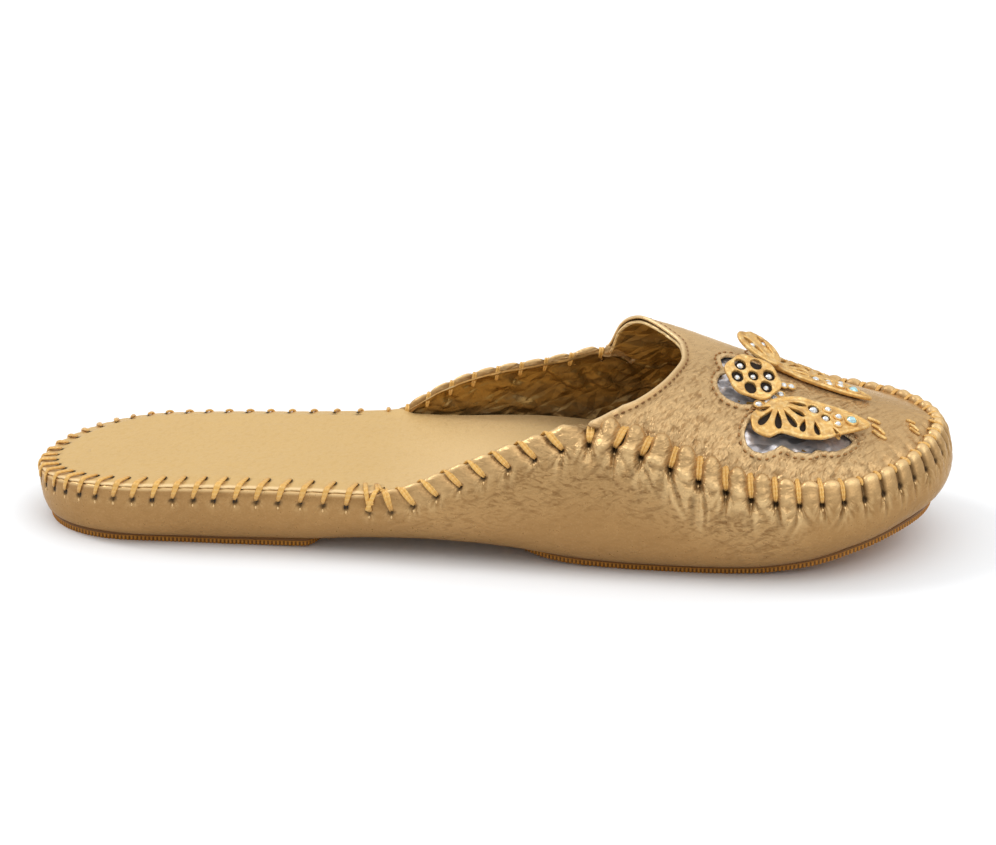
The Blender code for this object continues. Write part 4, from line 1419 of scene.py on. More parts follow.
def make_plug(material, thread, rim_thread):
    """The vamp from the collar to the toe, with the openings under the butterfly."""
    outline = plug_outline()[0]

    def height_of(plan):
        return plug_height(plan) + plug_relief(plan)

    points, faces, masks = rolled_sheet(
        outline,
        OPENINGS,
        PLUG_STEP,
        height_of,
        EDGE_FOLD,
        [EDGE_REACH, *[RIM_REACH] * len(OPENINGS)],
        back=False,
        base_of=plug_height,
        masks=plug_masks,
    )
    make_piece("plug", points, faces, material, "leather", masks, replaces=("upper",))
    dashes, rim_dashes = Pile(), Pile()
    line = offset_path(COLLAR_LINE, -COLLAR_BAND)
    top = int(np.argmax(line[:, 0]))
    add_dashes(dashes, line[COLLAR_ENDS:top], *NEAR_COLLAR_STITCHES)
    add_dashes(dashes, line[top:-COLLAR_ENDS], *FAR_COLLAR_STITCHES)
    for loop in OPENINGS:
        around = offset_path(np.vstack([loop, loop[:1]]), -RIM_STITCHES_OUT * turning(loop))
        add_dashes(rim_dashes, around, *RIM_STITCHES)
    dashes.piece("machine_stitches", thread, "thread")
    rim_dashes.piece("rim_stitches", rim_thread, "thread")


# ---------------------------------------------------------------- the lining

LINING_STEP = 0.8      # between the points of its mesh
VAMP_GAP = 2.2         # how far the vamp's lining hangs below the plug's outside
COLLAR_GAP = 1.25      # and how far at its edge by the collar
LINING_BACK = 0.3      # and how far ahead of the collar its own edge lies
WING_GAPS = (2.0, 3.2) # how far the medial and the lateral wing's lining lies inside the wrap's outside


def lining_top(station, medial):
    """The height of the wings' lining's upper edge."""
    far = medial * zone("before the plug", station)
    return by_side("_top", station, medial) - BEAD["sink"](station) - 1.4 + 0.7 * far


def lining_gap(medial):
    return np.where(medial, *WING_GAPS)


def lining_folds(points):
    """Big soft crumples with sharp creases, as a loose satin lining has."""
    leaning = points @ np.array([[0.8, -0.1, 0.6], [0.1, 1.0, 0.0], [-0.6, 0.0, 0.8]])
    big = crease_at(leaning, np.array([13.0, 11.0, 6.0]), 1.0)
    small = crease_at(leaning, np.array([6.0, 6.0, 3.2]), 6.0)
    return 1.5 * (big - 0.55) + 0.5 * (small - 0.5)


def make_vamp_lining(material):
    """The lining under the vamp, with its own folded edge just ahead of the collar."""
    outline, on_collar = plug_outline(-0.4, LINING_BACK)
    collar = COLLAR_LINE + (LINING_BACK, 0)

    def height_of(plan):
        within = distance_to(plan, collar)
        gap = COLLAR_GAP + (VAMP_GAP - COLLAR_GAP) * smooth_step(within, 1.0, 6.0)
        base = plug_height(plan) - gap - 2.0 * smooth_step(distance_to(plan, SEAM_LINE), 8, 3)
        folds = np.minimum(lining_folds(np.column_stack([plan, base])), 0.9)
        return base + folds * smooth_step(within, 2.5, 10.0)

    def masks_of(plan):
        edge = distance_to(plan, collar)
        # A painted highlight along the folded edge by the collar.
        return {"light": peak(edge, 0.5), "dark": 0 * edge}

    points, faces, masks = rolled_sheet(
        outline,
        [],
        LINING_STEP,
        height_of,
        1.0,
        [np.where(on_collar, 0.6, 0.2)],
        back=False,
        base_of=above_plug(-VAMP_GAP),
        masks=masks_of,
    )
    make_piece("vamp_lining", points, faces, material, "lining", masks, replaces=("upper",))


def make_wing_lining(material):
    """The lining inside the wings and round the toe, with a folded upper edge."""
    runs = np.linspace(run_at(KNOT + 4, False), run_at(KNOT + 4, True), 420)
    station, medial, plan, inward = along(runs)
    rows = np.linspace(0, 1, 46)[:, None]
    low = SECTION["footbed"](station) - 2.0
    height = low + (lining_top(station, medial) - low) * rows
    inset = inset_at_height(station, medial, height) + lining_gap(medial)
    inset = inset + 0.8 * smooth_step(rows, 0.75, 1.0)
    base = from_outline(plan, inward, inset, height)
    folds = np.clip(lining_folds(base), -0.6, 1.2) * smooth_step(rows, 1.0, 0.85)
    folds = folds * zone("wing lining", station) + 0.3 * peak(rows - 0.97, 0.03)
    inner = base - grid_normals(base, False) * folds[..., None]
    # A painted highlight along the folded upper edge, and painted shade low down.
    light = peak(rows - 0.985, 0.02) + 0 * height
    dark = 0.55 * smooth_step(rows, 0.55, 0.1) + 0 * height
    faces = grid_faces(len(rows), len(runs), False)
    masks = {"light": light, "dark": dark}
    make_piece("wing_lining", inner.reshape(-1, 3), faces, material, "lining", masks, replaces=("upper",))


# ---------------------------------------------------------------- the rubber pads

GAP = 0.3              # between the wrap's bottom and the pads
PAD_THICK = 2.4
PAD_BAND = 1.0         # height of the smooth band above the teeth
TOOTH_PITCH = 1.1
TOOTH_DEEP = 0.3
TOOTH_POINTS = 5       # of the mesh, to each tooth
PAD_FOLD_IN = 1.4      # how far in from its edge the flat underside begins
RIB_PITCH = 3.2
RIB_DEEP = 0.35
PAD_ROUNDNESS = 2.2    # of its ends: 2 would be an ellipse
HEEL_PAD = {"start": 2.8, "end": 83.5, "round_start": 26.0, "round_end": 7.0, "inset": 6.9}
FORE_PAD = {"start": 127.0, "end": 248.5, "round_start": 24.0, "round_end": 37.0, "inset": 8.6}


def pad_half_width(pad, station, medial):
    """How far across the pad's edge lies, with its round ends."""
    heel = clamp((pad["start"] + pad["round_start"] - station) / pad["round_start"])
    toe = clamp((station - pad["end"] + pad["round_end"]) / pad["round_end"])
    edge = by_side("", station, medial) - pad["inset"]
    return edge * np.sqrt(1 - heel**PAD_ROUNDNESS) * np.sqrt(1 - toe**PAD_ROUNDNESS)


def make_pad(name, pad, material, node):
    """A rubber outsole pad: a smooth band on top, teeth round the edge, and fine ribs underneath."""
    turn = np.linspace(0, math.pi, 900)
    station = pad["start"] + (pad["end"] - pad["start"]) * 0.5 * (1 - np.cos(turn))
    lateral = np.column_stack([station, -pad_half_width(pad, station, False)])
    medial = np.column_stack([station, pad_half_width(pad, station, True)])[-2:0:-1]
    outline = np.vstack([lateral, medial, lateral[:1]])
    run = path_runs(outline)
    count = int(run[-1] / TOOTH_PITCH) * TOOTH_POINTS
    ring = at_runs(np.linspace(0, run[-1], count, endpoint=False), run, outline)
    outward = loop_outward(ring, False)
    wave = 0.5 + 0.5 * np.cos(np.arange(count) / TOOTH_POINTS * 2 * math.pi)
    tooth = clamp(wave * 1.6 - 0.3)
    # How far in from the edge and down from the pad's top each ring lies, and how much of the teeth it has.
    profile = (
        (0.9, 0.0, 0),
        (0.35, 0.02, 0),
        (0.12, 0.12, 0),
        (0.05, 0.35, 0),
        (0.05, 0.8, 0),
        (0.15, PAD_BAND, 0),
        (0.0, PAD_BAND + 0.12, 1),
        (0.0, PAD_THICK - 0.35, 1),
        (0.2, PAD_THICK - 0.08, 0.9),
        (0.6, PAD_THICK, 0.3),
        (PAD_FOLD_IN, PAD_THICK, 0),
    )
    rows, dark = [], []
    top = SECTION["underside"](ring[:, 0]) - GAP
    for inset, down, share in profile:
        plan = ring - outward * (inset + share * TOOTH_DEEP * (1 - tooth))[:, None]
        rows.append(np.column_stack([plan, top - down]))
        # Painted shade on the smooth top band, under the wrap, and in the hollows between the teeth.
        dark.append(np.full(count, 0.85) if down < PAD_BAND else 0.9 * share * (1 - tooth))
    faces = grid_faces(len(rows), count, True).tolist()
    sole, triangles = cut_sheet(ring - outward * PAD_FOLD_IN, [], 1.6)
    inner = sole[count:]
    ribs = np.where(np.sin(inner[:, 0] * 2 * math.pi / RIB_PITCH) > 0, 0.0, RIB_DEEP)
    height = SECTION["underside"](inner[:, 0]) - GAP - PAD_THICK + ribs
    points = np.vstack([*rows, np.column_stack([inner, height])])
    # The sheet's first points are those of the last ring.
    faces += (triangles + (len(rows) - 1) * count).tolist()
    faces.append(list(range(count)))
    # The underside gets a little painted shade too.
    mask = np.concatenate([*dark, np.full(len(inner), 0.3)])
    make_piece(name, points, faces, material, "rubber", {"dark": mask}, replaces=(node,), smooth=50)


# ---------------------------------------------------------------- the butterfly

LEATHER_THICK = 1.1
ORNAMENT_SEAT = 0.45   # lowest clearance of an ornament piece over the plug
WING_LIFT = 1.9        # how much higher a forewing's far edges stand
FLARE = 12.0           # over this distance from its root
WING_STEP = 0.42       # between the points of a wing's mesh


def forewing_lift(plan):
    """The wing is sewn down at its root and stands off towards its edges."""
    root = FOREWING[0]
    side = np.abs(np.abs(plan[..., 1] - BODY_ACROSS) - (BODY_ACROSS - root[1]))
    away = np.hypot(plan[..., 0] - root[0], side)
    return ORNAMENT_SEAT + WING_LIFT * clamp(away / FLARE)


def teardrop(start, angle, length, width, count=26):
    """A drop-shaped cut-out: pointed at its start, round at its end."""
    turn = full_turn(count)
    along_it = length * 0.5 * (1 - np.cos(turn))
    aside = width * 0.5 * np.sin(turn) * np.sin(turn / 2) ** 1.2
    heading = math.radians(angle)
    ahead = np.array([math.cos(heading), math.sin(heading)])
    left = np.array([-ahead[1], ahead[0]])
    return np.asarray(start) + along_it[:, None] * ahead + aside[:, None] * left


def circle(centre, radii, count=22):
    """Plan points round an ellipse, or a circle if its two radii are the same."""
    turn = full_turn(count)
    return np.asarray(centre) + np.column_stack([np.cos(turn), np.sin(turn)]) * radii


# Cut-outs of the forewing: drops that fan out behind the root and along the long lobe.
FORE_DROPS = (
    # station, across, heading, length, width
    (204.3, -20.1, 212, 4.4, 2.4),
    (204.9, -20.9, 243, 7.6, 2.9),
    (206.3, -21.0, 274, 6.8, 2.8),
    (207.8, -20.6, 302, 7.0, 2.7),
    (208.8, -19.4, 330, 5.6, 2.3),
    (208.8, -17.9, 358, 5.2, 1.9),
    (213.7, -23.0, 262, 4.6, 2.5),
    (216.4, -22.8, 284, 4.6, 2.4),
    (221.2, -23.2, 312, 3.4, 1.5),
)
# Round holes of the forewing, with their radii, and its stones.
FORE_RINGS = (
    (215.9, -18.5, 1.6),
    (219.3, -20.4, 1.3),
)
FORE_STONES = (
    (215.9, -18.5, 1.2),
    (219.3, -20.4, 0.95),
    (219.6, -17.0, 0.95),
    (222.6, -18.6, 1.0),
    (222.6, -21.4, 0.9),
    (226.2, -18.4, 1.45),
)
BLUE_BEYOND = 225      # the forewing's stone past this station is pale blue

# Ahead of the near forewing three short strips lie on the plug. The far three repeat them, smaller.
FEELERS = (
    ((230.3, -9.8), (232.1, -10.1), (234.0, -10.8)),
    ((231.6, -12.4), (233.7, -13.5), (235.2, -15.3)),
    ((231.8, -15.0), (233.8, -16.2), (235.8, -16.8)),
)
FEELER_PLACES = ((232.0, -12.0, 1.0), (242.0, -6.5, 0.7))     # middle and size

# The near hindwing: a wavy disc with a hole in its middle and six round it.
DISC_MIDDLE = (199.2, -12.8)
DISC_RADII = (7.3, 5.9)
DISC_RING = (4.6, 3.65)        # radii of the ring of holes
DISC_TURN = 0.4
# The far hindwing: a petal from its hinge, with two slots and two stones.
PETAL_HINGE = np.array([205.4, -1.2])
PETAL_TIP = np.array([195.6, 7.6])
PETAL_HALF_WIDTH = 4.6

BODY_START = np.array([200.9, -9.5])   # the first stone of the body, and the way to its last
BODY_WAY = np.array([8.2, 2.2])
ROOT_STONES = ((200.8, -18.9), (203.0, -17.0), (204.8, -14.9), (206.4, -12.6))


def wing_surface(lift_of):
    """The height function of a wing's top."""
    return lambda plan: plug_height(plan) + lift_of(plan) + LEATHER_THICK


def seat(plan, height_of):
    """One point of a height function, and its normal."""
    return (value[0] for value in lay(np.array([plan], float), height_of))


def make_wing(name, outline, holes, lift_of, gold):
    """A leather plate with cut-outs, and a raised bead along all its edges."""
    flat = wing_surface(lift_of)
    borders = np.vstack([outline, *holes])

    def top(plan):
        return flat(plan) + 0.38 * peak(distance_to(plan, borders) - 0.3, 0.32)

    reaches = [0.3, *[0.1] * len(holes)]
    sheet = rolled_sheet(outline, holes, WING_STEP, top, LEATHER_THICK, reaches, back=True, base_of=flat)
    make_piece(name + "_leather", *sheet[:2], gold, "gold_leather", replaces=(name,))


def add_shade_sheet(shade_sheet, outline, lift_of):
    """A thin dark sheet of painted shade close under a wing, seen through its cut-outs, a little smaller than
    the wing.
    """
    middle = outline.mean(axis=0)
    plan, triangles = cut_sheet(middle + (outline - middle) * 0.93, [], 0.8)
    height = wing_surface(lift_of)(plan) - LEATHER_THICK - 0.08
    shade_sheet.add(np.column_stack([plan, height]), triangles.tolist())


FACETS = 8             # of a stone, seen from above
RING_SIDES = 20        # of its gold ring, and of that ring's own section
RING_SECTION = 8


def add_stone(stones, settings, spot, up, radius, tone=0.0):
    """A cut stone with eight facets, up from its (point, normal), in a gold ring if it has settings."""
    centre, normal = spot
    centre = centre + normal * up
    aside = unit(np.cross(normal, (0.0, 1.0, 0.2)))
    forward = np.cross(normal, aside)

    def round_at(turn, reach):
        return centre + (np.cos(turn)[:, None] * aside + np.sin(turn)[:, None] * forward) * reach

    turn = full_turn(FACETS)
    rings = [
        round_at(turn + shift * math.pi / FACETS, radius * share) + normal * height * radius
        for share, height, shift in ((0.6, -0.35, 0), (1.0, 0.1, 1), (0.56, 0.52, 0))
    ]
    faces = []
    for i in range(FACETS):
        low = [i, (i + 1) % FACETS]
        middle = [FACETS + k for k in low]
        high = [2 * FACETS + k for k in low]
        faces += [[*low, middle[0]], [low[1], *middle[::-1]], [*middle, high[1]], [middle[0], *high[::-1]]]
    faces += [list(range(FACETS))[::-1], list(range(2 * FACETS, 3 * FACETS))]
    stones.add(np.vstack(rings), faces, tone=tone)
    if settings is None:
        return
    turn = full_turn(RING_SIDES)
    band = 0.2 * radius + 0.1
    points = [
        round_at(turn, radius + band * 0.6 + band * math.cos(s)) + normal * (band * math.sin(s) * 1.2)
        for s in full_turn(RING_SECTION)
    ]
    quads = grid_faces(RING_SECTION, RING_SIDES, True).tolist()
    last = (RING_SECTION - 1) * RING_SIDES
    for i in range(RING_SIDES):
        j = (i + 1) % RING_SIDES
        quads.append([last + i, last + j, j, i])
    settings.add(points, quads)


def make_forewings(gold, stones, settings, shade_sheet):
    """The near forewing, raised over its opening, and the flat one that mirrors it."""
    cuts = [teardrop((u, y), angle, length, width) for u, y, angle, length, width in FORE_DROPS]
    cuts += [circle((u, y), radius) for u, y, radius in FORE_RINGS]
    near = closed_path(FOREWING, 0.3)

    def flat_lift(plan):
        return np.full(plan.shape[:-1], ORNAMENT_SEAT)

    def as_it_is(loop):
        return loop

    for name, lift_of, turned in (
        ("forewing_lateral", forewing_lift, as_it_is),
        ("forewing_medial", flat_lift, mirrored),
    ):
        outline = turned(near)
        make_wing(name, outline, [turned(cut) for cut in cuts], lift_of, gold)
        if turned is as_it_is:
            add_shade_sheet(shade_sheet, outline, lift_of)
        for u, y, radius in FORE_STONES:
            spot = seat(turned([(u, y)])[0], wing_surface(lift_of))
            tone = float(u > BLUE_BEYOND)
            if any(math.hypot(u - at, y - across) < 0.1 for at, across, _ in FORE_RINGS):
                add_stone(stones, None, spot, -0.35, radius, tone)
            else:
                add_stone(stones, settings, spot, 0.15, radius, tone)


def make_disc(gold, stones, shade_sheet):
    """The near hindwing: it stands high and leans, and has stones in its holes."""
    turn = full_turn(130)
    petals = 1 + 0.04 * np.cos(6 * turn + DISC_TURN)
    disc = np.asarray(DISC_MIDDLE) + circle((0, 0), DISC_RADII, 130) * petals[:, None]
    ring = full_turn(6) + DISC_TURN
    centres = np.vstack([(0, 0), np.column_stack([np.cos(ring), np.sin(ring)]) * DISC_RING]) + DISC_MIDDLE

    def lift_of(plan):
        return 3.0 + 0.30 * (plan[..., 1] - DISC_MIDDLE[1])

    holes = [circle(centre, 1.7 if i else 1.5) for i, centre in enumerate(centres)]
    make_wing("hindwing_lateral", disc, holes, lift_of, gold)
    add_shade_sheet(shade_sheet, disc, lift_of)
    for i, centre in enumerate(centres):
        if i % 3 != 2:
            add_stone(stones, None, seat(centre, wing_surface(lift_of)), -0.6, 0.95 if i % 2 else 0.8)


def make_petal(gold, stones):
    """The far hindwing: it rises from its hinge."""
    length = np.linalg.norm(PETAL_TIP - PETAL_HINGE)
    ahead = (PETAL_TIP - PETAL_HINGE) / length
    aside = np.array([-ahead[1], ahead[0]])

    def lift_of(plan):
        run = (plan[..., 0] - PETAL_HINGE[0]) * ahead[0] + (plan[..., 1] - PETAL_HINGE[1]) * ahead[1]
        return ORNAMENT_SEAT + 1.7 + 0.24 * np.clip(run, 0, None)

    turn = full_turn(130)
    notch = 1 - 0.14 * peak(turn - 2 * math.pi * (turn > math.pi), 0.30)
    petal = (PETAL_HINGE + PETAL_TIP) / 2 + 0.5 * length * (np.cos(turn) * notch)[:, None] * ahead
    petal = petal + PETAL_HALF_WIDTH * (np.sin(turn) * (1 + 0.18 * np.cos(turn)))[:, None] * aside
    heading = math.degrees(math.atan2(ahead[1], ahead[0]))
    starts = [PETAL_HINGE + ahead * 3.0 + aside * side * 1.5 for side in (-1, 1)]
    slots = [teardrop(start, heading + turned, 7.6, 2.6) for start, turned in zip(starts, (-9, 9))]
    make_wing("hindwing_medial", petal, slots, lift_of, gold)
    for side in (-1, 1):
        spot = PETAL_HINGE + ahead * 7.6 + aside * side * 2.1
        add_stone(stones, None, seat(spot, wing_surface(lift_of)), -0.4, 0.85)


def make_butterfly(gold, stone, foil, shadow):
    """The wings, the body, the short strips ahead of them, and the foil below the openings."""
    stones, settings, shade_sheet, body, feelers, floor = (Pile() for _ in range(6))
    make_forewings(gold, stones, settings, shade_sheet)
    make_disc(gold, stones, shade_sheet)
    make_petal(gold, stones)
    for share in np.linspace(0, 1, 5):
        add_stone(body, settings, seat(BODY_START + BODY_WAY * share, plug_height), 0.9, 1.0)
    body.piece("butterfly_body_stones", stone, "stones", replaces=("butterfly_body",), smooth=0)
    for spot in ROOT_STONES:
        add_stone(stones, settings, seat(spot, plug_height), 0.9, 1.05)
    stones.piece("wing_stones", stone, "stones", smooth=0)
    # The dark sheets of painted shade under the wings.
    shade_sheet.piece("wing_shade_sheet", shadow, "lining")
    settings.piece("stone_settings", gold, "gold_leather")

    for u, y, size in FEELER_PLACES:
        for rows in FEELERS:
            plan = smooth_path((np.array(rows) - FEELER_PLACES[0][:2]) * size + (u, y), 16)
            points, normals = lay(plan, plug_height)
            feelers.add(*tube(points + normals * 0.3, 1.2 * size, 1.0, normals, 8)[:2])
    feelers.piece("feelers", gold, "gold_leather")

    for loop in OPENINGS:
        middle = loop.mean(axis=0)
        plan, triangles = cut_sheet(middle + (loop - middle) * 1.18, [], 0.6)
        base = plug_height(plan) - FOIL_DEEP
        crinkle = crease_at(np.column_stack([plan, base]), 3.0, 8.0)
        floor.add(np.column_stack([plan, base + 0.35 * (crinkle - 0.5)]), triangles.tolist())
    floor.piece("foil", foil, "foil")


# ---------------------------------------------------------------- materials


class Finish:
    """A material built from procedural textures in the shoe's own space."""

    def __init__(self, name, colour, roughness, metallic, **sockets):
        self.material = bpy.data.materials.new(name)
        self.material.use_nodes = True
        self.tree = self.material.node_tree
        self.shader = self.tree.nodes["Principled BSDF"]
        settings = {"Base Color": (*colour, 1), "Roughness": roughness, "Metallic": metallic, **sockets}
        for socket, value in settings.items():
            self.shader.inputs[socket].default_value = value
        self.place = self.tree.nodes.new("ShaderNodeTexCoord").outputs["Object"]
        self.colour = (*colour, 1)
        self.normal = None

    def add(self, kind, inputs, settings=None):
        node = self.tree.nodes.new(kind)
        for key, value in (settings or {}).items():
            setattr(node, key, value)
        sockets = {socket.identifier: socket for socket in node.inputs}
        for key, value in inputs.items():
            if isinstance(value, bpy.types.NodeSocket):
                self.tree.links.new(value, sockets[key])
            else:
                sockets[key].default_value = value
        return node

    def cells(self, size, turn=0.0, tilt=0.0):
        """The place divided by a size in millimetres, or one for each way.

        turn: the long way's angle from the shoe's length, seen from above. tilt: the same seen from the side.
        """
        sizes = [value * 0.001 for value in np.broadcast_to(size, 3).tolist()]
        angles = (0, math.radians(-tilt), math.radians(turn))
        inputs = {"Vector": self.place, "Scale": sizes, "Rotation": angles}
        return self.add("ShaderNodeMapping", inputs, {"vector_type": "TEXTURE"}).outputs["Vector"]

    def noise(self, size, detail=2.0, turn=0.0, tilt=0.0, distortion=0.0):
        return self.noise_of(self.cells(size, turn, tilt), 1.0, detail, distortion)

    def noise_of(self, place, scale, detail, distortion=0.0):
        inputs = {"Vector": place, "Scale": scale, "Detail": detail, "Distortion": distortion}
        return self.add("ShaderNodeTexNoise", inputs).outputs["Fac"]

    def cracks(self, size, turn=0.0, tilt=0.0):
        inputs = {"Vector": self.cells(size, turn, tilt), "Scale": 1.0}
        return self.add("ShaderNodeTexVoronoi", inputs, {"feature": "DISTANCE_TO_EDGE"}).outputs["Distance"]

    def calculate(self, operation, value, other=0.0):
        inputs = {"Value": value, "Value_001": other}
        return self.add("ShaderNodeMath", inputs, {"operation": operation}).outputs[0]

    def times(self, value, factor):
        return self.calculate("MULTIPLY", value, factor)

    def creases(self, value, sharpness):
        """0 along the lines where a noise crosses its middle, 1 away from them."""
        away = self.calculate("ABSOLUTE", self.calculate("SUBTRACT", value, 0.5))
        return self.calculate("MINIMUM", self.times(away, sharpness), 1.0)

    def star(self):
        """0 along the uneven ridges that run out from the nearest stitch hole, 1 between them."""
        inputs = {"X": self.mask("ray"), "Y": self.times(self.mask("reach"), 0.12), "Z": 0.0}
        place = self.add("ShaderNodeCombineXYZ", inputs).outputs[0]
        return self.creases(self.noise_of(place, 1.5, 1.0), 6.0)

    def stretch(self, value, low, high, start=0.0, end=1.0):
        inputs = {"Value": value, "From Min": low, "From Max": high, "To Min": start, "To Max": end}
        return self.add("ShaderNodeMapRange", inputs).outputs["Result"]

    def mask(self, name):
        return self.add("ShaderNodeAttribute", {}, {"attribute_name": name}).outputs["Fac"]

    def tint(self, factor, colour):
        """Mixes a colour in by a factor."""
        inputs = {"Factor_Float": factor, "A_Color": self.colour, "B_Color": (*colour, 1)}
        self.colour = self.add("ShaderNodeMix", inputs, {"data_type": "RGBA"}).outputs[2]
        self.tree.links.new(self.colour, self.shader.inputs["Base Color"])

    def tint_mask(self, name, strength, colour):
        """Mixes a colour in where one of the mesh's masks says so."""
        self.tint(self.times(self.mask(name), strength), colour)

    def blotches(self, size, detail, low, high, strength, colour):
        """Mixes a colour in where a noise of a size is high."""
        self.tint(self.stretch(self.noise(size, detail), low, high, 0.0, strength), colour)

    def bump(self, height, depth, strength=1.0):
        """Relief of a depth in millimetres."""
        inputs = {"Height": height, "Distance": depth * 0.001, "Strength": strength}
        if self.normal:
            inputs["Normal"] = self.normal
        self.normal = self.add("ShaderNodeBump", inputs).outputs["Normal"]
        self.tree.links.new(self.normal, self.shader.inputs["Normal"])

    def rough(self, value, low, high):
        """Roughness between the two, by a noise."""
        self.tree.links.new(self.stretch(value, 0.3, 0.7, low, high), self.shader.inputs["Roughness"])


# Painted shade: the near black that a leather's dark mask mixes in, in holes, grooves, folds and shaded
# sides.
PAINTED_SHADE = (0.045, 0.024, 0.010)


def leather_finish(name, colour, light, deep, wrinkles, metallic, roughness):
    """Pearlised leather: fine grain, short wrinkles, painted shade in the creases and painted highlights on
    the ridges and edges.

    wrinkles: one row for each layer of them: size, turn, tilt and depth. light: the colour of the painted
    highlights. deep: that of the painted shade, and of a broad random tone.
    """
    finish = Finish(name, colour, roughness, metallic)
    finish.shader.inputs["Specular Tint"].default_value = (1.0, 0.80, 0.50, 1)
    amount = finish.mask("wrinkle")
    finish.blotches(18.0, 3.0, 0.35, 0.75, 0.2, deep)
    for size, turn, tilt, depth in wrinkles:
        folds = finish.noise(size, 1.0, turn, tilt, 0.5)
        # Painted shade in the layer's creases and painted highlights on its ridges.
        finish.tint(finish.times(finish.stretch(folds, 0.48, 0.34), finish.times(amount, 0.60)), deep)
        finish.tint(finish.times(finish.stretch(folds, 0.54, 0.68), finish.times(amount, 0.10)), light)
        finish.bump(finish.times(folds, amount), depth)
        ridge = finish.times(finish.stretch(finish.creases(folds, 6.0), 1.0, 0.0), amount)
        finish.tint(finish.times(ridge, 0.14), light)
    # Painted highlights on the ridges that run out from each stitch hole, and painted shade between them.
    star = finish.mask("star")
    rays = finish.star()
    ridges = finish.times(finish.stretch(rays, 0.8, 0.0), star)
    finish.tint(finish.times(ridges, 0.65), light)
    finish.tint(finish.times(finish.times(finish.stretch(rays, 0.6, 1.0), star), 0.25), deep)
    finish.bump(finish.times(ridges, finish.times(finish.mask("reach"), 0.15)), 0.4)
    # Fine pale flecks: a painted pearly sheen.
    finish.blotches(0.5, 1.0, 0.5, 0.8, 0.10, light)
    # Painted highlights where the light mask says so, and painted shade where the dark mask says so.
    finish.tint_mask("light", 0.85, light)
    finish.tint(finish.mask("dark"), PAINTED_SHADE)
    finish.bump(finish.creases(finish.noise((1.7, 1.3, 1.4), 1.0, 38.0), 5.0), 0.03)
    finish.bump(finish.noise(0.5, 1.0), 0.03)
    finish.rough(finish.noise(1.4, 2.0), roughness - 0.05, roughness + 0.10)
    return finish.material


def lining_finish():
    """Loose satin: golden brown and shining on its folds, with painted highlights on its folded edges and
    painted shade, grey and dark, low down.
    """
    finish = Finish("satin_lining", (0.36, 0.20, 0.048), 0.32, 0.50)
    finish.shader.inputs["Specular Tint"].default_value = (1.0, 0.75, 0.40, 1)
    finish.blotches((12.0, 12.0, 6.0), 3.0, 0.45, 0.62, 0.7, (0.20, 0.125, 0.05))
    # Painted highlights and painted shade where the masks say so.
    finish.tint_mask("light", 0.95, (0.85, 0.64, 0.34))
    finish.tint(finish.mask("dark"), (0.085, 0.058, 0.034))
    finish.bump(finish.cracks((8.0, 8.0, 3.4), 0.0, 30.0), 1.2)
    finish.bump(finish.noise((6.0, 6.0, 3.0), 1.0, 0.0, 20.0, 0.3), 0.8)
    finish.bump(finish.noise(0.5, 2.0), 0.04)
    return finish.material


def thread_finish(name, colour, light):
    """Flat waxed thread: fibres along it, in a long twist with painted highlights on its ridges, and darker
    where its tone mask says so: its own tone, and painted shade where it goes into its holes.
    """
    finish = Finish(name, colour, 0.34, 0.15)
    wave = finish.calculate("SINE", finish.times(finish.mask("ply"), 2 * math.pi / TWIST))
    # Painted highlights on the twist's ridges.
    finish.tint(finish.stretch(wave, -0.4, 1.0, 0.0, 0.22), light)
    finish.tint_mask("tone", 0.70, (0.55 * colour[0], 0.42 * colour[1], 0.4 * colour[2]))
    finish.bump(finish.stretch(wave, -1.0, 1.0), 0.03)
    finish.bump(finish.noise(0.3, 1.0), 0.04)
    return finish.material


def rubber_finish():
    """Amber rubber, with painted shade where the mask says so: under the wrap, between the teeth and
    underneath.
    """
    finish = Finish("amber_rubber", (0.50, 0.21, 0.022), 0.44, 0.0)
    finish.shader.inputs["Specular IOR Level"].default_value = 0.3
    finish.blotches(6.0, 2.0, 0.4, 0.7, 0.4, (0.40, 0.145, 0.014))
    finish.tint(finish.mask("dark"), (0.10, 0.042, 0.010))
    finish.bump(finish.noise(0.5, 2.0), 0.04)
    return finish.material


def gold_finish():
    """Leather with uneven gold foil, bright and worn in patches."""
    finish = Finish("gold_leather", (0.74, 0.44, 0.135), 0.30, 0.50)
    finish.blotches(1.6, 3.0, 0.48, 0.66, 0.6, (0.95, 0.72, 0.34))
    finish.blotches(3.0, 3.0, 0.5, 0.68, 0.6, (0.42, 0.20, 0.05))
    finish.bump(finish.noise(1.1, 2.0), 0.22)
    finish.bump(finish.cracks(0.7), 0.07)
    finish.bump(finish.noise(0.3, 2.0), 0.04)
    return finish.material


def stone_finish():
    """Clear cut stones, pale blue where the tone mask says so, with grey patches of painted dark reflection.
    """
    finish = Finish("cut_stone", (0.86, 0.87, 0.86), 0.06, 0.55)
    finish.tint(finish.mask("tone"), (0.50, 0.86, 0.90))
    # Painted dark reflections in patches.
    finish.blotches(0.6, 0.0, 0.5, 0.6, 0.6, (0.42, 0.46, 0.50))
    return finish.material


def foil_finish():
    """Crinkled silver foil with dark patches painted in for its reflections and the shade under the wings."""
    finish = Finish("silver_foil", (0.72, 0.69, 0.70), 0.30, 0.70)
    shade = finish.noise((7.0, 3.0, 4.0), 1.0, 20.0)
    finish.tint(finish.stretch(shade, 0.52, 0.60, 0.0, 0.7), (0.14, 0.13, 0.14))
    finish.bump(finish.noise((3.6, 2.6, 3.0), 1.0), 0.22)
    return finish.material


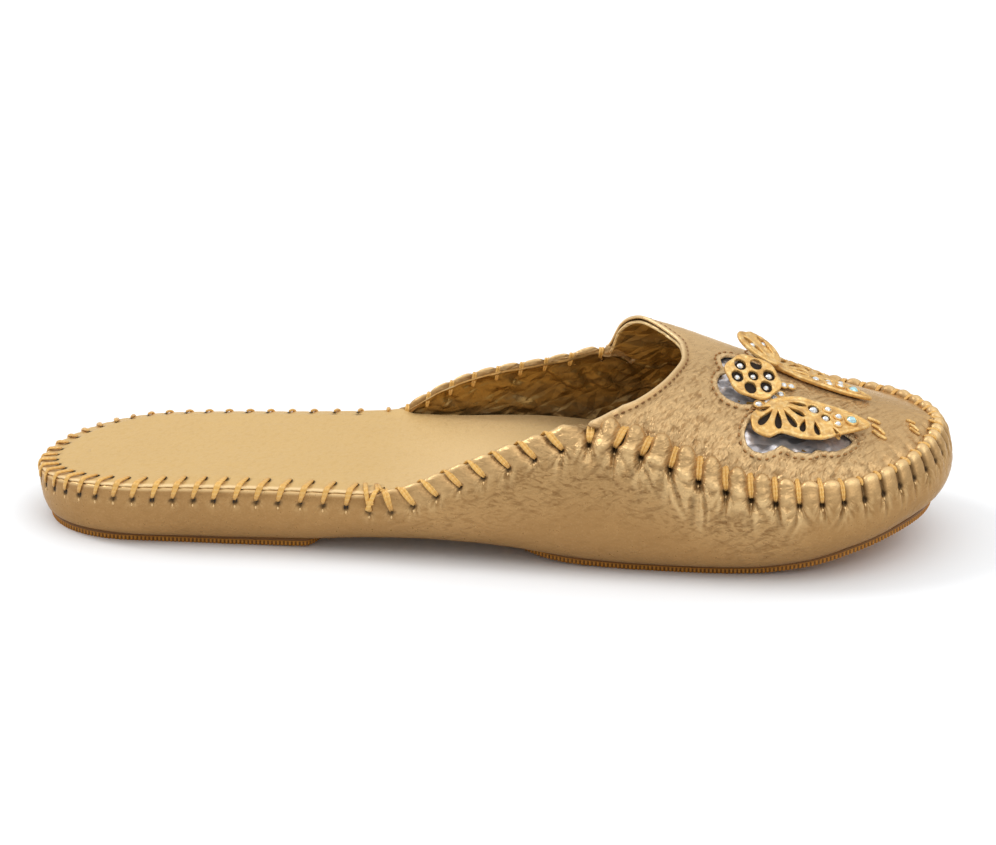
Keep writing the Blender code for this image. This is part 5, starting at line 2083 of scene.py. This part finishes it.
def hole_finish():
    """Painted shade: the near black of the stitch holes, and of the sheet under the wings that shows through
    their cut-outs.
    """
    finish = Finish("hole_shadow", (0.020, 0.012, 0.007), 0.9, 0.0)
    finish.blotches(0.6, 1.0, 0.5, 0.7, 0.5, (0.045, 0.026, 0.012))
    return finish.material


# ---------------------------------------------------------------- stage, light and camera


HORIZON_LIGHT = 0.50
ZENITH_LIGHT = 1.20
SUNS = {
    # name: azimuth, elevation, strength, angular size
    "key": (-100, 46, 0.65, 20),
    "fill": (55, 52, 0.65, 50),
}
FLOOR_SIDE = 6.0       # half of it, in metres
CAMERA_AZIMUTH = 5.0
CAMERA_ELEVATION = 20.0
CAMERA_DISTANCE = 1.4
CAMERA_LENS = 182.2
AIM = (-0.001, 0.0, 0.020)     # a point of the shoe in metres
AIM_RIGHT = 0.00228            # how far right of it and above it the view's middle is
AIM_UP = 0.00842


def direction(azimuth, elevation):
    """The way towards an azimuth (0 from the front, 90 from the toe) and an elevation, in degrees."""
    a, e = math.radians(azimuth), math.radians(elevation)
    return Vector((math.sin(a) * math.cos(e), -math.cos(a) * math.cos(e), math.sin(e)))


def make_stage():
    """A plain pale floor and soft studio light."""
    data = bpy.data.meshes.new("floor")
    corners = [(x * FLOOR_SIDE, y * FLOOR_SIDE, 0) for x, y in ((-1, -1), (1, -1), (1, 1), (-1, 1))]
    data.from_pydata(corners, [], [(0, 1, 2, 3)])
    floor = add_object("floor", data)
    paint = Finish("floor_paint", (0.915, 0.935, 0.955), 0.8, 0.0)
    paint.blotches(400.0, 1.0, 0.3, 0.7, 0.3, (0.925, 0.94, 0.96))
    data.materials.append(paint.material)

    world = bpy.data.worlds.new("studio")
    world.use_nodes = True
    nodes, links = world.node_tree.nodes, world.node_tree.links
    heading = nodes.new("ShaderNodeTexCoord")
    parts = nodes.new("ShaderNodeSeparateXYZ")
    level = nodes.new("ShaderNodeMapRange")
    level.inputs["To Min"].default_value = HORIZON_LIGHT
    level.inputs["To Max"].default_value = ZENITH_LIGHT
    links.new(heading.outputs["Generated"], parts.inputs[0])
    links.new(parts.outputs["Z"], level.inputs["Value"])
    links.new(level.outputs["Result"], nodes["Background"].inputs["Strength"])
    nodes["Background"].inputs["Color"].default_value = (1, 1, 1, 1)
    bpy.context.scene.world = world
    for name, (azimuth, elevation, strength, angle) in SUNS.items():
        lamp = bpy.data.lights.new(name, "SUN")
        lamp.energy = strength
        lamp.angle = math.radians(angle)
        towards = direction(azimuth, elevation)
        add_object(name, lamp).rotation_euler = towards.to_track_quat("Z", "Y").to_euler()
    bpy.context.scene.view_settings.view_transform = "Standard"


def make_camera():
    """The photo's view: from the little-toe side, with a long lens."""
    back = direction(CAMERA_AZIMUTH, CAMERA_ELEVATION)
    right = direction(CAMERA_AZIMUTH + 90, 0)
    data = bpy.data.cameras.new("camera")
    data.lens = CAMERA_LENS
    camera = add_object("camera", data)
    camera.location = Vector(AIM) + right * AIM_RIGHT + back.cross(right) * AIM_UP + back * CAMERA_DISTANCE
    camera.rotation_euler = back.to_track_quat("Z", "Y").to_euler()
    bpy.context.scene.camera = camera


def main():
    # pale and the warm colour below are the colours that the leathers' painted highlights and painted light
    # mix in.
    pale = (0.88, 0.65, 0.36)
    warm_highlight = (0.84, 0.58, 0.28)
    wall_wrinkles = (((4.2, 4.2, 1.3), 0, 24, 0.50), ((2.6, 2.6, 0.9), 0, -10, 0.28))
    plug_wrinkles = (((4.4, 1.2, 2.4), 52, 0, 0.50), ((2.8, 0.8, 1.6), 66, 0, 0.28))
    grain = (((2.2, 1.3, 1.2), 70, 0, 0.16),)
    wrap_leather, plug_leather, footbed_leather = (
        leather_finish(*row)
        for row in (
            ("wrap_leather", (0.37, 0.200, 0.070), warm_highlight, (0.20, 0.098, 0.031), wall_wrinkles, 0.5, 0.32),
            ("plug_leather", (0.53, 0.33, 0.143), pale, (0.31, 0.165, 0.060), plug_wrinkles, 0.5, 0.30),
            ("footbed_leather", (0.61, 0.402, 0.155), pale, (0.54, 0.34, 0.12), grain, 0.12, 0.46),
        )
    )
    # Each thread's second colour is the colour of its painted highlights.
    hand_thread, brown_thread, rim_thread = (
        thread_finish(*row)
        for row in (
            ("hand_thread", (0.74, 0.42, 0.10), (0.98, 0.74, 0.34)),
            ("brown_thread", (0.30, 0.135, 0.035), (0.50, 0.27, 0.09)),
            ("rim_thread", (0.42, 0.20, 0.05), (0.70, 0.42, 0.14)),
        )
    )
    shadow = hole_finish()
    wrap = Wrap()
    wrap.build(wrap_leather)
    make_footbed(footbed_leather)
    make_threads(wrap, hand_thread, shadow, wrap_leather)
    make_plug(plug_leather, brown_thread, rim_thread)
    satin = lining_finish()
    make_vamp_lining(satin)
    make_wing_lining(satin)
    rubber = rubber_finish()
    make_pad("heel_pad", HEEL_PAD, rubber, "outsole_heel")
    make_pad("forefoot_pad", FORE_PAD, rubber, "outsole_forefoot")
    make_butterfly(gold_finish(), stone_finish(), foil_finish(), shadow)
    make_stage()
    make_camera()


main()
